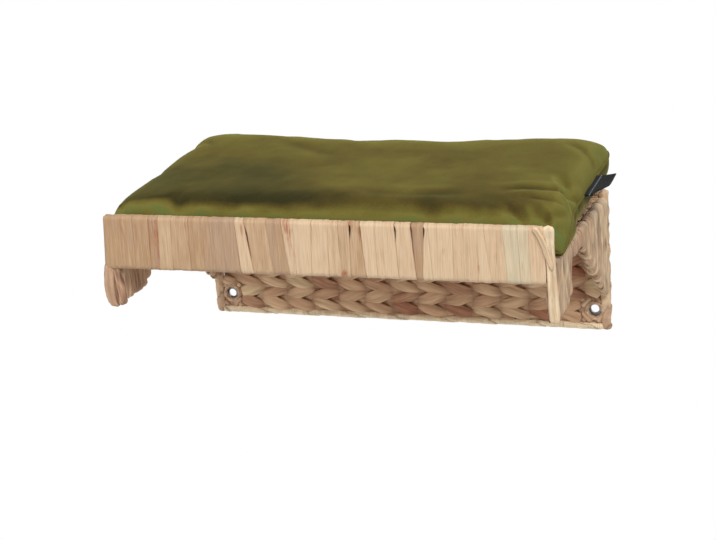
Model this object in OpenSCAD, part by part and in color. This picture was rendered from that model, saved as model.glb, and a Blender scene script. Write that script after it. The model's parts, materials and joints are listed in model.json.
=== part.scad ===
// Wall platform for a cat: a welded wire frame, woven and wrapped in dried leaf, with a loose cushion.
// Millimetres. The origin is the centre of the four wall holes, in the plane of the wall.
// X runs to the right as seen from the room, Y into the wall and Z up.

/* [Overall] */
// Width of the woven body
shelf_w = 500; // [440:5:600]
// Depth from the wall to the front of the posts
shelf_d = 270; // [240:5:330]
// Height of the back panel
back_h = 168; // [162:2:200]

/* [Apron and legs] */
// Height of the strip-covered apron
apron_h = 61; // [45:1:75]
// How far the apron's top stands above the deck
apron_lip = 36; // [26:1:44]
// How far the legs reach below the apron
leg_drop = 41; // [30:1:55]
// Depth of each leg panel, front to back
leg_depth = 80; // [60:1:95]
// Radius of the leg panel's lower rear corner
leg_corner_r = 22; // [14:1:30]
// Upright strands in each leg panel
leg_strands = 7; // [4:1:10]
// Thickness of one layer of leaf
leaf_t = 2; // [1.4:0.1:2.4]
// Gap between two neighbouring strips
strip_gap = 0.4; // [0.2:0.1:1]
// Depth of the crease that a strip has along its middle
crease_d = 0.7; // [0.3:0.1:1]

/* [Deck] */
// How far the deck lies below the top of the back panel
deck_below_back = 8; // [4:1:14]
// Height of the wrapped bands along the deck's sides
edge_h = 22; // [18:1:28]
// Corner radius of those bands
edge_r = 5; // [2:0.5:5.5]
// Woven rows in the deck
deck_rows = 18; // [14:2:22]

/* [Back panel] */
// Height of one woven row in the back panel, before the rows are evened out over it
back_row_h = 13.6; // [12:0.2:15]
// Upright wires that the rows are woven on
stake_count = 13; // [9:1:17]
// Thickness of a woven row
row_t = 9; // [8:0.5:10]
// Depth of the slanting valley between two leaves of a row
valley_d = 2.4; // [1.5:0.1:2.6]

/* [Wire] */
// Diameter of the post and side rods
post_rod_d = 6; // [5:0.5:7]
// Diameter of the rails between the posts
rail_rod_d = 5; // [4:0.5:5.5]
// Diameter of the leg and brace wires in the sides
side_rod_d = 5; // [4:0.5:5.5]
// Diameter of the upright wires in the back
stake_d = 3.2; // [2:0.2:3.4]
// Diameter of the wires that carry the deck
bar_d = 3.6; // [2.4:0.2:3.8]

/* [Wraps] */
// Diameter over the wrapped posts, and thickness of the sides
post_wrap_d = 12; // [11:0.5:14]
// Diameter over the wrapped rails
rail_wrap_d = 9; // [8:0.5:10]
// Width of one turn of leaf
turn_w = 11; // [8:0.5:16]
// How far the middle of a turn stands proud of its edges
turn_bulge = 0.5; // [0.3:0.1:1]

/* [Side fans] */
// Reach of the fan along the deck, from the rear post
fan_reach = 120; // [90:1:140]
// Drop of the fan down the rear post
fan_drop = 96; // [60:1:105]
// Leaf strands in each fan
fan_strands = 9; // [6:1:12]
// How far a strand bulges at the fan's free edge
fan_bulge = 2.5; // [1:0.5:4]
// Depth of the valleys between strands
strand_valley_d = 1.4; // [0.6:0.1:2]
// How far the side wires lie inside the free edges
wire_cover = 6; // [5:0.5:8]

/* [Wall plates] */
// Diameter of the screw holes
hole_d = 10; // [5:0.5:11]
// Distance of the holes from the ends of the body
hole_inset = 20; // [19:0.5:24]
// Height of the lower holes above the bottom edge
lower_hole_up = 24; // [22:1:30]
// Depth of the upper holes below the top edge
upper_hole_down = 52; // [46:1:60]
// How far the leaf round a hole stands back from its rim
hole_lip = 1; // [0.5:0.1:1.5]

/* [Cushion] */
// How much wider the cushion is than the body, seam to seam
cushion_over = 16; // [-20:2:24]
// How far the cushion lies to the right of the middle
cushion_shift = 3; // [0:1:12]
// Gap between the cushion's back seam and the wall
cushion_wall_gap = 8; // [4:1:20]
// Height of the seam above the deck
seam_up = 38; // [28:1:44]
// Height of the top above the seam, at the middle
crown_h = 24; // [16:1:40]
// How far the seams draw in between the corners
draw_in = 5; // [0:0.5:14]
// How far the seam is rounded off at each corner
corner_pull = 4; // [0:0.5:12]
// How much fuller the rear left quarter is than the rest
corner_full = 9; // [0:0.5:12]
// How far the seam is lifted at the rear right corner
corner_rise = 4; // [0:0.5:8]
// How much higher the seam lies at the back than at the middle
seam_tilt = 13; // [0:1:16]
// Height of the drooping front right corner above the deck
corner_up = 2; // [1:1:16]
// Thickness of the cover cloth with its padding
cover_t = 3; // [2:0.5:4]
// Length of the folded label along the seam
label_w = 60; // [30:1:80]
// How far the label stands out of the seam
label_out = 22; // [12:1:30]
// Thickness of one layer of the label
label_t = 0.8; // [0.5:0.1:1.2]
// Tilt of the label above level, in degrees
label_tilt = 4; // [0:1:40]

/* [Hidden] */
$fn = 48;
// Clearance between a wrap and its wire, and between neighbouring wraps
fit = 0.15;
// Clearance between the cushion and what carries it
rest_gap = 0.3;
// Overrun of every cut
over = 1;

// Rod planes and levels
hole_rise = back_h - lower_hole_up - upper_hole_down;
side_x = shelf_w / 2 - post_wrap_d / 2;
inner_x = side_x - post_wrap_d / 2 - fit;
back_y = -post_wrap_d / 2;
front_y = -shelf_d + post_wrap_d / 2;
back_low = -hole_rise / 2 - lower_hole_up;
back_top = back_low + back_h;
deck_z = back_top - deck_below_back;
apron_top = deck_z + apron_lip;
apron_low = apron_top - apron_h;
leg_low = apron_low - leg_drop;
edge_low = deck_z - edge_h;
low_rail_z = back_low + rail_wrap_d / 2;
top_rail_z = back_top - rail_wrap_d / 2;
panel_t = max(row_t, rail_wrap_d);
deck_rod_z = deck_z - panel_t / 2;

// A strip is a flat loop of leaf round both apron rails
loop_r = rail_rod_d / 2 + fit + leaf_t;
upper_rail_z = apron_top - loop_r;
lower_rail_z = apron_low + loop_r;

// The deck's front and back rails, each inside its own wrap
deck_front_y = front_y + loop_r + fit + rail_wrap_d / 2;
deck_back_y = back_y - panel_t / 2 - fit - rail_wrap_d / 2;

// Bays between the upright wires, and the pitch of the rows
bays = stake_count + 1;
bay = 2 * inner_x / bays;
row_low = low_rail_z + rail_wrap_d / 2 + fit;
row_high = top_rail_z - rail_wrap_d / 2 - fit;
back_rows = round((row_high - row_low) / back_row_h);
back_pitch = (row_high - row_low) / back_rows;
deck_row_front = deck_front_y + rail_wrap_d / 2 + fit;
deck_row_back = deck_back_y - rail_wrap_d / 2 - fit;
deck_pitch = (deck_row_back - deck_row_front) / deck_rows;
// One pair of weavers runs out and back, so a course is two rows
rows_per_course = 2;
back_courses = ceil(back_rows / rows_per_course);
deck_courses = ceil(deck_rows / rows_per_course);
// Thickness of a row at its upper and lower edge, as a share of its middle
row_edge_share = 0.5;
// Flats across each bowed face of a row, and the length of a valley as a share of its bay's diagonal
face_steps = 4;
valley_share = 0.96;

// Side panels, in the plane of depth and height
leg_front = -shelf_d + post_wrap_d + fit;
leg_rear = -shelf_d + leg_depth;
panel_rear = -post_wrap_d - fit;
fan_corner = [panel_rear, edge_low - fit];
fan_len = norm([fan_reach, fan_drop]);
fan_out = [-fan_drop, -fan_reach] / fan_len;
fan_along = [fan_reach, -fan_drop] / fan_len;

// Screw holes and the patches of leaf round them
hole_x = shelf_w / 2 - hole_inset;
patch_half = lower_hole_up - rail_wrap_d - fit;
plate_r = patch_half - leaf_t - fit;
// The plates fill the space between the post rods and the wall
plate_t = -back_y - post_rod_d / 2 - fit;
hole_levels = [-hole_rise / 2, hole_rise / 2];

// Places of the seams between strips along the apron, from left to right, at its top and at its foot
seam_top_shares = [0, 0.050, 0.113, 0.188, 0.247, 0.302, 0.324, 0.413, 0.443, 0.486,
                   0.525, 0.574, 0.597, 0.674, 0.712, 0.748, 0.862, 0.914, 1];
seam_low_shares = [0, 0.046, 0.108, 0.186, 0.251, 0.312, 0.341, 0.428, 0.446, 0.482,
                   0.522, 0.571, 0.608, 0.681, 0.718, 0.758, 0.862, 0.925, 1];
strip_count = len(seam_top_shares) - 1;
// Place of a strip's crease, as a share of its width
crease_share = 0.5;

// Steps in the outline of one wrapped turn
turn_steps = 4;

// Cushion: its places, its mesh counts and how square its shoulders are
cushion_front = -shelf_d + post_wrap_d + rest_gap + fit;
cushion_rear = -cushion_wall_gap;
cushion_mid = (cushion_front + cushion_rear) / 2;
cushion_w = shelf_w + cushion_over;
cushion_half_w = cushion_w / 2;
cushion_half_d = (cushion_rear - cushion_front) / 2;
width_power = 11;
depth_power = 9;
under_power = 8;
droop_power = 3;
pull_power = 8;
full_power = 2;
// How closely the mesh's lines crowd towards the seam
crowd_share = 0.6;
corner_droop = seam_up - seam_tilt - corner_up;
cover_cells = [26, 15];
fill_cells = [14, 8];
// Place of the label along the right seam, from the middle towards the back
label_share = 0.12;

function two_digits(i) = i < 10 ? str("0", i) : str(i);
function numbered(name, count) = [for (i = [1 : count]) str(name, "_", two_digits(i))];
sides = ["left", "right"];
side_parts = ["leg_wires", "front_post_wrap", "leg_wrap", "edge_wrap", "fan_wrap", "rear_post_wrap"];

// Plain helpers

// Draws its children's x as depth, their y as height, and extrudes them along X
module in_side_plane(x) {
    translate([x, 0, 0]) rotate([90, 0, 90]) children();
}

// Draws its children's y as height, and extrudes them along Y
module in_front_plane(y) {
    translate([0, y, 0]) rotate([90, 0, 0]) children();
}

// A side part is drawn for the right, and mirrored for the left
module on_side(side) {
    mirror([side == "left" ? 1 : 0, 0, 0]) children();
}

module mirrored_pair() {
    for (side = sides) on_side(side) children();
}

module rod_along_x(half_len, d) {
    rotate([0, 90, 0]) cylinder(h = 2 * half_len, d = d, center = true);
}

// A rod in a side plane, between two points of depth and height
module rod_in_side(x, from, to, d) {
    step = to - from;
    translate([x, from[0], from[1]])
        rotate([atan2(-step[0], step[1]), 0, 0])
            cylinder(h = norm(step), d = d);
}

module rounded_rect(w, h, r) {
    square([w - 2 * r, h], center = true);
    square([w, h - 2 * r], center = true);
    for (x = [-1, 1], y = [-1, 1])
        translate([x * (w / 2 - r), y * (h / 2 - r)]) circle(r);
}

// Outline points of a row of soft bulges from 0 to length, on a face at the given offset
function bulges(length, count, offset, bulge) = [
    for (k = [0 : count - 1], j = [0 : turn_steps - 1])
        [(k + j / turn_steps) * length / count, offset - bulge + bulge * sin(180 * j / turn_steps)],
    [length, offset - bulge]];
function swapped(points) = [for (p = points) [p[1], p[0]]];
function reversed(points) = [for (i = [len(points) - 1 : -1 : 0]) points[i]];
function turns(length) = max(2, round(length / turn_w));

// A solid wrapped rod, standing up from the origin
module wrapped_rod(length, d) {
    edge = swapped(bulges(length, turns(length), d / 2, turn_bulge));
    rotate_extrude() polygon(concat([[0, 0]], edge, [[0, length]]));
}

// A flat bundle of strands side by side, bulging on both faces, from depth a to depth b
module strand_plan(a, b, count, t, bulge) {
    face = bulges(b - a, count, t / 2, bulge);
    far = [for (p = face) [p[1], a + p[0]]];
    near = [for (p = reversed(face)) [-p[1], a + p[0]]];
    polygon(concat(far, near));
}

// Wire frame. Each module takes the clearance by which it grows when it cuts its own way

module back_posts(grow) {
    for (side = [-1, 1])
        translate([side * side_x, back_y, back_low + leaf_t - grow])
            cylinder(h = back_h - 2 * leaf_t + 2 * grow, d = post_rod_d + 2 * grow);
}

module back_rails(grow) {
    for (z = [low_rail_z, top_rail_z])
        translate([0, back_y, z]) rod_along_x(side_x, rail_rod_d + 2 * grow);
}

module back_frame() {
    color("dimgray") {
        back_posts(0);
        back_rails(0);
    }
}

module stakes(grow) {
    low = low_rail_z + rail_rod_d / 2 + fit;
    high = top_rail_z - rail_rod_d / 2 - fit;
    for (i = [1 : stake_count])
        translate([-inner_x + i * bay, back_y, low - grow])
            cylinder(h = high - low + 2 * grow, d = stake_d + 2 * grow);
}

module back_stakes() {
    color("dimgray") stakes(0);
}

module deck_side_rods(grow) {
    front = front_y + post_rod_d / 2 + fit;
    rear = back_y - post_rod_d / 2 - fit;
    for (side = [-1, 1])
        rod_in_side(side * side_x, [front - grow, deck_rod_z], [rear + grow, deck_rod_z],
                    post_rod_d + 2 * grow);
}

module deck_cross_rods(grow) {
    for (y = [deck_front_y, deck_back_y])
        translate([0, y, deck_rod_z]) rod_along_x(side_x, rail_rod_d + 2 * grow);
}

module deck_frame() {
    color("dimgray") {
        deck_side_rods(0);
        deck_cross_rods(0);
    }
}

module bars(grow) {
    front = deck_front_y + rail_rod_d / 2 + fit;
    rear = deck_back_y - rail_rod_d / 2 - fit;
    for (i = [1 : stake_count])
        rod_in_side(-inner_x + i * bay, [front - grow, deck_rod_z], [rear + grow, deck_rod_z],
                    bar_d + 2 * grow);
}

module deck_bars() {
    color("dimgray") bars(0);
}

module front_posts(grow) {
    for (side = [-1, 1])
        translate([side * side_x, front_y, leg_low + leaf_t - grow])
            cylinder(h = apron_top - leg_low - 2 * leaf_t + 2 * grow, d = post_rod_d + 2 * grow);
}

module apron_rails(grow) {
    for (z = [upper_rail_z, lower_rail_z])
        translate([0, front_y, z]) rod_along_x(side_x, rail_rod_d + 2 * grow);
}

module front_frame() {
    color("dimgray") {
        front_posts(0);
        apron_rails(0);
    }
}

// The right leg's bent wire: back along the foot, round the corner and up to the deck
module leg_loop(grow) {
    d = side_rod_d + 2 * grow;
    bend_r = leg_corner_r - wire_cover;
    foot_z = leg_low + wire_cover;
    up_y = leg_rear - wire_cover;
    start = [front_y + post_rod_d / 2 + fit - grow, foot_z];
    bend = [up_y - bend_r, foot_z + bend_r];
    finish = [up_y, deck_rod_z - post_rod_d / 2 - fit + grow];
    rod_in_side(side_x, start, [bend[0], foot_z], d);
    in_side_plane(side_x)
        translate(bend) rotate(-90) rotate_extrude(angle = 90) translate([bend_r, 0]) circle(d = d);
    rod_in_side(side_x, [up_y, bend[1]], finish, d);
}

// The right brace: from the deck's side rod down to the rear post, just inside the fan's edge
module brace(grow) {
    on_line = fan_corner + [-fan_reach, 0] - fan_out * wire_cover;
    high = deck_rod_z - post_rod_d / 2 - fit - side_rod_d / 2;
    deep = back_y - post_rod_d / 2 - fit - side_rod_d / 2;
    start = on_line + fan_along * (high - on_line[1]) / fan_along[1];
    finish = on_line + fan_along * (deep - on_line[0]) / fan_along[0];
    rod_in_side(side_x, start - fan_along * grow, finish + fan_along * grow, side_rod_d + 2 * grow);
}

module leg_wires(side) {
    color("dimgray") on_side(side) {
        leg_loop(0);
        brace(0);
    }
}

// Wall plates: a tab behind each rear post, flat on the wall, with a screw hole in its round end

module tab_outline(r, reach) {
    circle(r);
    translate([0, -r]) square([reach - hole_x, 2 * r]);
}

// Draws its children on the wall, at every hole, growing towards the room
module at_holes() {
    mirrored_pair()
        for (z = hole_levels) translate([hole_x, 0, z]) rotate([90, 0, 0]) children();
}

module plate_slots() {
    at_holes() translate([0, 0, -over])
        linear_extrude(plate_t + fit + over) tab_outline(plate_r + fit, side_x + fit);
}

module wall_plates() {
    color("silver") at_holes()
        difference() {
            linear_extrude(plate_t) tab_outline(plate_r, side_x);
            translate([0, 0, -over]) cylinder(h = plate_t + 2 * over, d = hole_d);
        }
}

// A square patch of leaf round each hole, out to the post
module at_patches(half, reach, t) {
    at_holes() translate([-half, -half, -back_y - t / 2])
        cube([half + reach - hole_x, 2 * half, t]);
}

module eyelet_wraps() {
    color("tan") difference() {
        at_patches(patch_half, inner_x, rail_wrap_d);
        plate_slots();
        at_holes() cylinder(h = panel_t - back_y, d = hole_d + 2 * hole_lip);
    }
}

// Leaf wraps of the posts, rails and sides

module rear_post_wrap(side) {
    color("burlywood") on_side(side) difference() {
        translate([side_x, back_y, back_low]) wrapped_rod(back_h, post_wrap_d);
        back_posts(fit);
        back_rails(fit);
        deck_side_rods(fit);
        brace(fit);
        plate_slots();
    }
}

module front_post_wrap(side) {
    color("wheat") on_side(side) difference() {
        translate([side_x, front_y, leg_low]) wrapped_rod(apron_top - leg_low, post_wrap_d);
        front_posts(fit);
        apron_rails(fit);
        deck_side_rods(fit);
        leg_loop(fit);
    }
}

module rail_sleeve() {
    translate([-inner_x, 0, 0]) rotate([0, 90, 0]) wrapped_rod(2 * inner_x, rail_wrap_d);
}

module bottom_rail_wrap() {
    color("wheat") difference() {
        translate([0, back_y, low_rail_z]) rail_sleeve();
        back_rails(fit);
        stakes(fit);
    }
}

module top_rail_wrap() {
    color("wheat") difference() {
        translate([0, back_y, top_rail_z]) rail_sleeve();
        back_rails(fit);
        stakes(fit);
    }
}

module deck_rail_wraps() {
    color("burlywood") difference() {
        for (y = [deck_front_y, deck_back_y]) translate([0, y, deck_rod_z]) rail_sleeve();
        deck_cross_rods(fit);
        bars(fit);
    }
}

// Upright strands round the leg's bent wire
module leg_wrap(side) {
    top = edge_low - fit;
    color("tan") on_side(side) difference() {
        intersection() {
            in_side_plane(side_x) linear_extrude(post_wrap_d + 2 * over, center = true) {
                translate([leg_front, leg_low])
                    square([leg_rear - leg_corner_r - leg_front, top - leg_low]);
                translate([leg_front, leg_low + leg_corner_r])
                    square([leg_rear - leg_front, top - leg_low - leg_corner_r]);
                translate([leg_rear - leg_corner_r, leg_low + leg_corner_r]) circle(leg_corner_r);
            }
            translate([side_x, 0, leg_low - over]) linear_extrude(top - leg_low + 2 * over)
                strand_plan(leg_front, leg_rear, leg_strands, post_wrap_d, strand_valley_d);
        }
        leg_loop(fit);
    }
}

// The band wound round the deck's side rod
module edge_wrap(side) {
    length = panel_rear - leg_front;
    color("burlywood") on_side(side) difference() {
        intersection() {
            translate([side_x, panel_rear, deck_z - edge_h / 2])
                rotate([90, 0, 0]) linear_extrude(length) rounded_rect(post_wrap_d, edge_h, edge_r);
            translate([side_x, 0, edge_low - over]) linear_extrude(edge_h + 2 * over)
                strand_plan(leg_front, panel_rear, turns(length), post_wrap_d, turn_bulge);
        }
        deck_side_rods(fit);
        deck_cross_rods(fit);
        leg_loop(fit);
        brace(fit);
    }
}

// A point of the fan's free edge: share of the way down, and how far it stands out
function fan_edge(share, out) =
    fan_corner + [-fan_reach, 0] + fan_along * fan_len * share + fan_out * out;

module fan_outline() {
    edge = bulges(1, fan_strands, fan_bulge, fan_bulge);
    polygon(concat([fan_corner], [for (p = edge) fan_edge(p[0], p[1])]));
}

// Upright strands between the deck's side and the brace, longest beside the rear post
module fan_wrap(side) {
    color("tan") on_side(side) difference() {
        intersection() {
            in_side_plane(side_x) linear_extrude(post_wrap_d + 2 * over, center = true) fan_outline();
            translate([side_x, 0, back_low]) linear_extrude(back_h)
                strand_plan(panel_rear - fan_reach, panel_rear, fan_strands, post_wrap_d, strand_valley_d);
        }
        brace(fit);
    }
}

// Apron: one strip is a flat loop over the upper rail and under the lower one

function seam_x(shares, i) = -inner_x + 2 * inner_x * shares[i];
function strip_span(shares, i) = [seam_x(shares, i - 1) + strip_gap / 2, seam_x(shares, i) - strip_gap / 2];

// Half a turn of leaf over a rail, closed upwards or downwards
module half_turn(span, z, up) {
    translate([span[0], front_y, z]) rotate([90, 0, 90]) linear_extrude(span[1] - span[0])
        intersection() {
            difference() {
                circle(loop_r);
                circle(loop_r - leaf_t);
            }
            translate([-loop_r, up > 0 ? 0 : -loop_r]) square([2 * loop_r, loop_r]);
        }
}

// The crease down the middle of the strip's face, following its slant
module strip_crease(top_span, low_span) {
    top = top_span[0] + (top_span[1] - top_span[0]) * crease_share;
    low = low_span[0] + (low_span[1] - low_span[0]) * crease_share;
    drop = upper_rail_z - lower_rail_z;
    side = crease_d * sqrt(2);
    translate([low, front_y - loop_r, lower_rail_z])
        rotate([0, atan2(top - low, drop), 0]) rotate([0, 0, 45])
            translate([0, 0, norm([top - low, drop]) / 2])
                cube([side, side, norm([top - low, drop]) - 2 * loop_r], center = true);
}

module apron_strip(i) {
    top_span = strip_span(seam_top_shares, i);
    low_span = strip_span(seam_low_shares, i);
    face = [[top_span[0], upper_rail_z], [top_span[1], upper_rail_z],
            [low_span[1], lower_rail_z], [low_span[0], lower_rail_z]];
    color(i % 2 == 0 ? "wheat" : "burlywood") difference() {
        union() {
            for (y = [front_y - loop_r + leaf_t / 2, front_y + loop_r - leaf_t / 2])
                in_front_plane(y) linear_extrude(leaf_t, center = true) polygon(face);
            half_turn(top_span, upper_rail_z, 1);
            half_turn(low_span, lower_rail_z, -1);
        }
        strip_crease(top_span, low_span);
    }
}

// Woven rows

// Outline of a course across its length: the faces of each row bow out from thinner edges
module course_outline(rows, h) {
    sag = row_t / 2 * (1 - row_edge_share);
    face = [for (k = [0 : rows * face_steps])
        [row_t / 2 - sag * pow(2 * (k % face_steps) / face_steps - 1, 2), k / face_steps * h]];
    polygon(concat(face, [for (p = reversed(face)) [-p[0], p[1]]]));
}

// The slanting valleys between the leaves of one row, one in every bay of both faces
module row_valleys(h, slant) {
    lean = atan2(h, bay);
    side = valley_d * sqrt(2);
    for (b = [0 : bays - 1], face = [-1, 1])
        translate([-inner_x + (b + 0.5) * bay, face * row_t / 2, 0])
            rotate([0, face * slant * lean, 0]) rotate([45, 0, 0])
                cube([bay / cos(lean) * valley_share, side, side], center = true);
}

// A course: its rows one above the other from level 0, slanting opposite ways
module course(first_row, rows, pitch) {
    h = pitch - fit / rows_per_course;
    difference() {
        rotate([90, 0, 90]) linear_extrude(2 * inner_x, center = true) course_outline(rows, h);
        for (r = [0 : rows - 1])
            translate([0, 0, (r + 0.5) * h]) row_valleys(h, (first_row + r) % 2 == 0 ? 1 : -1);
    }
}

module back_course(i) {
    first = rows_per_course * (i - 1);
    color("rosybrown") difference() {
        translate([0, back_y, row_low + first * back_pitch])
            course(first, min(rows_per_course, back_rows - first), back_pitch);
        stakes(fit);
        at_patches(patch_half + fit, inner_x + over, panel_t + 2 * over);
    }
}

module deck_course(i) {
    first = rows_per_course * (i - 1);
    color("tan") difference() {
        translate([0, deck_row_back - first * deck_pitch, deck_rod_z])
            rotate([90, 0, 0]) course(first, min(rows_per_course, deck_rows - first), deck_pitch);
        bars(fit);
    }
}

// Cushion: places on it are given by two shares, from -1 at the left and front to 1 at the right and back

function pull(s, t) = corner_pull * pow(abs(s * t), pull_power);
function pillow_x(s, t, inset) =
    cushion_shift + s * (cushion_half_w - inset - draw_in * (1 - t * t) - pull(s, t));
function pillow_y(s, t, inset) =
    cushion_mid + t * (cushion_half_d - inset - draw_in * (1 - s * s) - pull(s, t));
function rise(s, power) = sqrt(max(0, 1 - pow(abs(s), power)));
// 1 at the corner where both shares are 1, falling to 0 at the sides of that quarter
function quarter(s, t, power) = pow(max(0, s) * max(0, t), power);
function seam_z(s, t, inset) = deck_z + rest_gap + seam_up + seam_tilt * t
    + corner_rise * quarter(s, t, droop_power) - (corner_droop - inset) * quarter(s, -t, droop_power);
function pillow_top(s, t, inset) = seam_z(s, t, inset)
    + rise(s, width_power) * rise(t, depth_power) * (crown_h - inset + corner_full * quarter(-s, t, full_power));
function pillow_low(s, t, inset) = max(deck_z + rest_gap + inset, seam_z(s, t, inset)
    - (seam_up + seam_tilt + cover_t) * rise(s, under_power) * rise(t, under_power));

// Place of a line of the mesh: evenly spaced lines from -1 to 1, drawn towards both ends
function grid_share(even) = crowd_share * sin(90 * even) + (1 - crowd_share) * even;

// The two triangles of a cell with corners a to d, split across b and d or along a and c
function cell_faces(a, b, c, d, across) = across ? [[a, b, d], [b, c, d]] : [[a, b, c], [a, c, d]];

// A closed crowned form: a top grid, and a low grid that shares its rim. Cells are split towards the
// nearest corner, so that no triangle has all its points on the rim
module pillow(cells, inset) {
    nx = cells[0];
    ny = cells[1];
    s = [for (i = [0 : nx]) grid_share(2 * i / nx - 1)];
    t = [for (j = [0 : ny]) grid_share(2 * j / ny - 1)];
    top = [for (i = [0 : nx], j = [0 : ny])
        [pillow_x(s[i], t[j], inset), pillow_y(s[i], t[j], inset), pillow_top(s[i], t[j], inset)]];
    low = [for (i = [1 : nx - 1], j = [1 : ny - 1])
        [pillow_x(s[i], t[j], inset), pillow_y(s[i], t[j], inset), pillow_low(s[i], t[j], inset)]];
    function at_top(i, j) = i * (ny + 1) + j;
    function at_low(i, j) = i == 0 || j == 0 || i == nx || j == ny
        ? at_top(i, j) : (nx + 1) * (ny + 1) + (i - 1) * (ny - 1) + j - 1;
    faces = [for (i = [0 : nx - 1], j = [0 : ny - 1])
        let (across = (2 * i < nx) != (2 * j < ny))
        each concat(
            cell_faces(at_top(i, j), at_top(i, j + 1), at_top(i + 1, j + 1), at_top(i + 1, j), across),
            cell_faces(at_low(i, j), at_low(i + 1, j), at_low(i + 1, j + 1), at_low(i, j + 1), across))];
    polyhedron(points = concat(top, low), faces = faces);
}

module cushion_cover() {
    color("olivedrab") difference() {
        pillow(cover_cells, 0);
        pillow(fill_cells, cover_t);
    }
}

module cushion_fill() {
    color("white") pillow(fill_cells, cover_t + rest_gap);
}

// A strip of ribbon folded in two, with its fold outwards and its ends at the seam
module cushion_label() {
    bend_r = label_t * 3 / 2;
    seam_out = pillow_x(1, abs(label_share) + label_w / cushion_half_d / 2, 0) + fit;
    color("darkslategray")
        translate([seam_out, cushion_mid + label_share * cushion_half_d, seam_z(1, label_share, 0)])
            rotate([atan2(seam_tilt, cushion_half_d), 0, 0]) rotate([90, -label_tilt, 0])
            linear_extrude(label_w, center = true) {
                for (layer = [-1, 1])
                    translate([0, layer > 0 ? bend_r - label_t : -bend_r])
                        square([label_out - bend_r, label_t]);
                translate([label_out - bend_r, 0]) intersection() {
                    difference() {
                        circle(bend_r);
                        circle(bend_r - label_t);
                    }
                    translate([0, -bend_r]) square([bend_r, 2 * bend_r]);
                }
            }
}

back_frame();
back_stakes();
deck_frame();
deck_bars();
front_frame();
wall_plates();
for (s = sides) {
    leg_wires(s);
    front_post_wrap(s);
    leg_wrap(s);
    edge_wrap(s);
    fan_wrap(s);
    rear_post_wrap(s);
}
bottom_rail_wrap();
top_rail_wrap();
deck_rail_wraps();
eyelet_wraps();
for (i = [1 : strip_count])
    apron_strip(i);
for (i = [1 : back_courses])
    back_course(i);
for (i = [1 : deck_courses])
    deck_course(i);
cushion_cover();
cushion_fill();
cushion_label();
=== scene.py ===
"""Cat wall platform: dried leaf wound and woven on a wire frame, with a loose velvet cushion.

Lengths are in millimetres, and each finished mesh is scaled to metres. X runs to the right as seen
from the room, Y into the wall and Z up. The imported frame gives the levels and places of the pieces.
"""
import json
import logging
import math
import random
from collections.abc import Callable, Sequence
from dataclasses import dataclass, field, replace
from enum import Enum
from functools import partial

import bmesh
import bpy
from mathutils import Matrix, Vector, noise
from mathutils.bvhtree import BVHTree


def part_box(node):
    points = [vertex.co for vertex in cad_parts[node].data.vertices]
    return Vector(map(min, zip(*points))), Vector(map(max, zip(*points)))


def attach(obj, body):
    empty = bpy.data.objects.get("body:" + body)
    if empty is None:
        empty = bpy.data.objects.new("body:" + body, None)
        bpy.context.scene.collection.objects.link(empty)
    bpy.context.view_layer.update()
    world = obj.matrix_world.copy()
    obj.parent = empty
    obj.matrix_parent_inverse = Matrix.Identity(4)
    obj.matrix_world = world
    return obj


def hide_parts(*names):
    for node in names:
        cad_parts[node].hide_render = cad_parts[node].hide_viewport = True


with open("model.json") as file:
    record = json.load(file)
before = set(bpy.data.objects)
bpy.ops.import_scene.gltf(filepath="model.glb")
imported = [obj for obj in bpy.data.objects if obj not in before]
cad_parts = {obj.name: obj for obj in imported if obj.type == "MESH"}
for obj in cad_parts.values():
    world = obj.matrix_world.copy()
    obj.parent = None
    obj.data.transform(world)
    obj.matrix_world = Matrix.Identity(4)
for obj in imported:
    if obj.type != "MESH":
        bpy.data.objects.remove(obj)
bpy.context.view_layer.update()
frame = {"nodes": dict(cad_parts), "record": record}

log = logging.getLogger("platform")
MM = 0.001
TURN = 2 * math.pi
ACROSS = Vector((1, 0, 0))
DEPTH = Vector((0, 1, 0))
UP = Vector((0, 0, 1))
WHITE = (1.0, 1.0, 1.0)
Colour = tuple[float, float, float]
Span = tuple[float, float]
Stops = tuple[tuple[float, Colour], ...]


class Side(Enum):
    """The two ends of the platform, with the sign of their X."""

    LEFT = -1
    RIGHT = 1

    @property
    def word(self) -> str:
        """The side's name as the nodes spell it."""
        return self.name.lower()


class Body(Enum):
    """The bodies that pieces ride on."""

    PLATFORM = "platform"
    CUSHION = "cushion"


def rgb(red: int, green: int, blue: int) -> Colour:
    """Turns a screen colour of 0 to 255 into the linear colour that shaders take.

    Args:
        red: Its red share.
        green: Its green share.
        blue: Its blue share.

    Returns:
        The linear colour.
    """
    shares = [c / 255 for c in (red, green, blue)]
    return tuple(c / 12.92 if c <= 0.04045 else ((c + 0.055) / 1.055) ** 2.4 for c in shares)


def blend(low: float, high: float, share: float) -> float:
    """The value at a share of the way from low to high."""
    return low + (high - low) * share


def held(value: float) -> float:
    """The number, held between 0 and 1."""
    return min(1.0, max(0.0, value))


def ease(low: float, high: float, value: float) -> float:
    """Rises smoothly from 0 to 1 as value goes from low to high."""
    share = held((value - low) / (high - low))
    return share * share * (3 - 2 * share)


def beside(place: Span, start: Span, end: Span) -> Span:
    """Finds the spot of a straight line that lies nearest to a place.

    Args:
        place: The place, as two numbers.
        start: Start of the line.
        end: End of the line.

    Returns:
        The spot's share of the way from start to end, and its distance from the place.
    """
    step = (end[0] - start[0], end[1] - start[1])
    gone = (place[0] - start[0], place[1] - start[1])
    share = held((gone[0] * step[0] + gone[1] * step[1]) / max(1e-6, step[0] ** 2 + step[1] ** 2))
    return share, math.hypot(gone[0] - share * step[0], gone[1] - share * step[1])


def ripple(x: float, y: float = 0.0, z: float = 0.0) -> float:
    """Smooth repeatable noise from about -1 to 1."""
    return noise.noise(Vector((x, y, z)))


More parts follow.
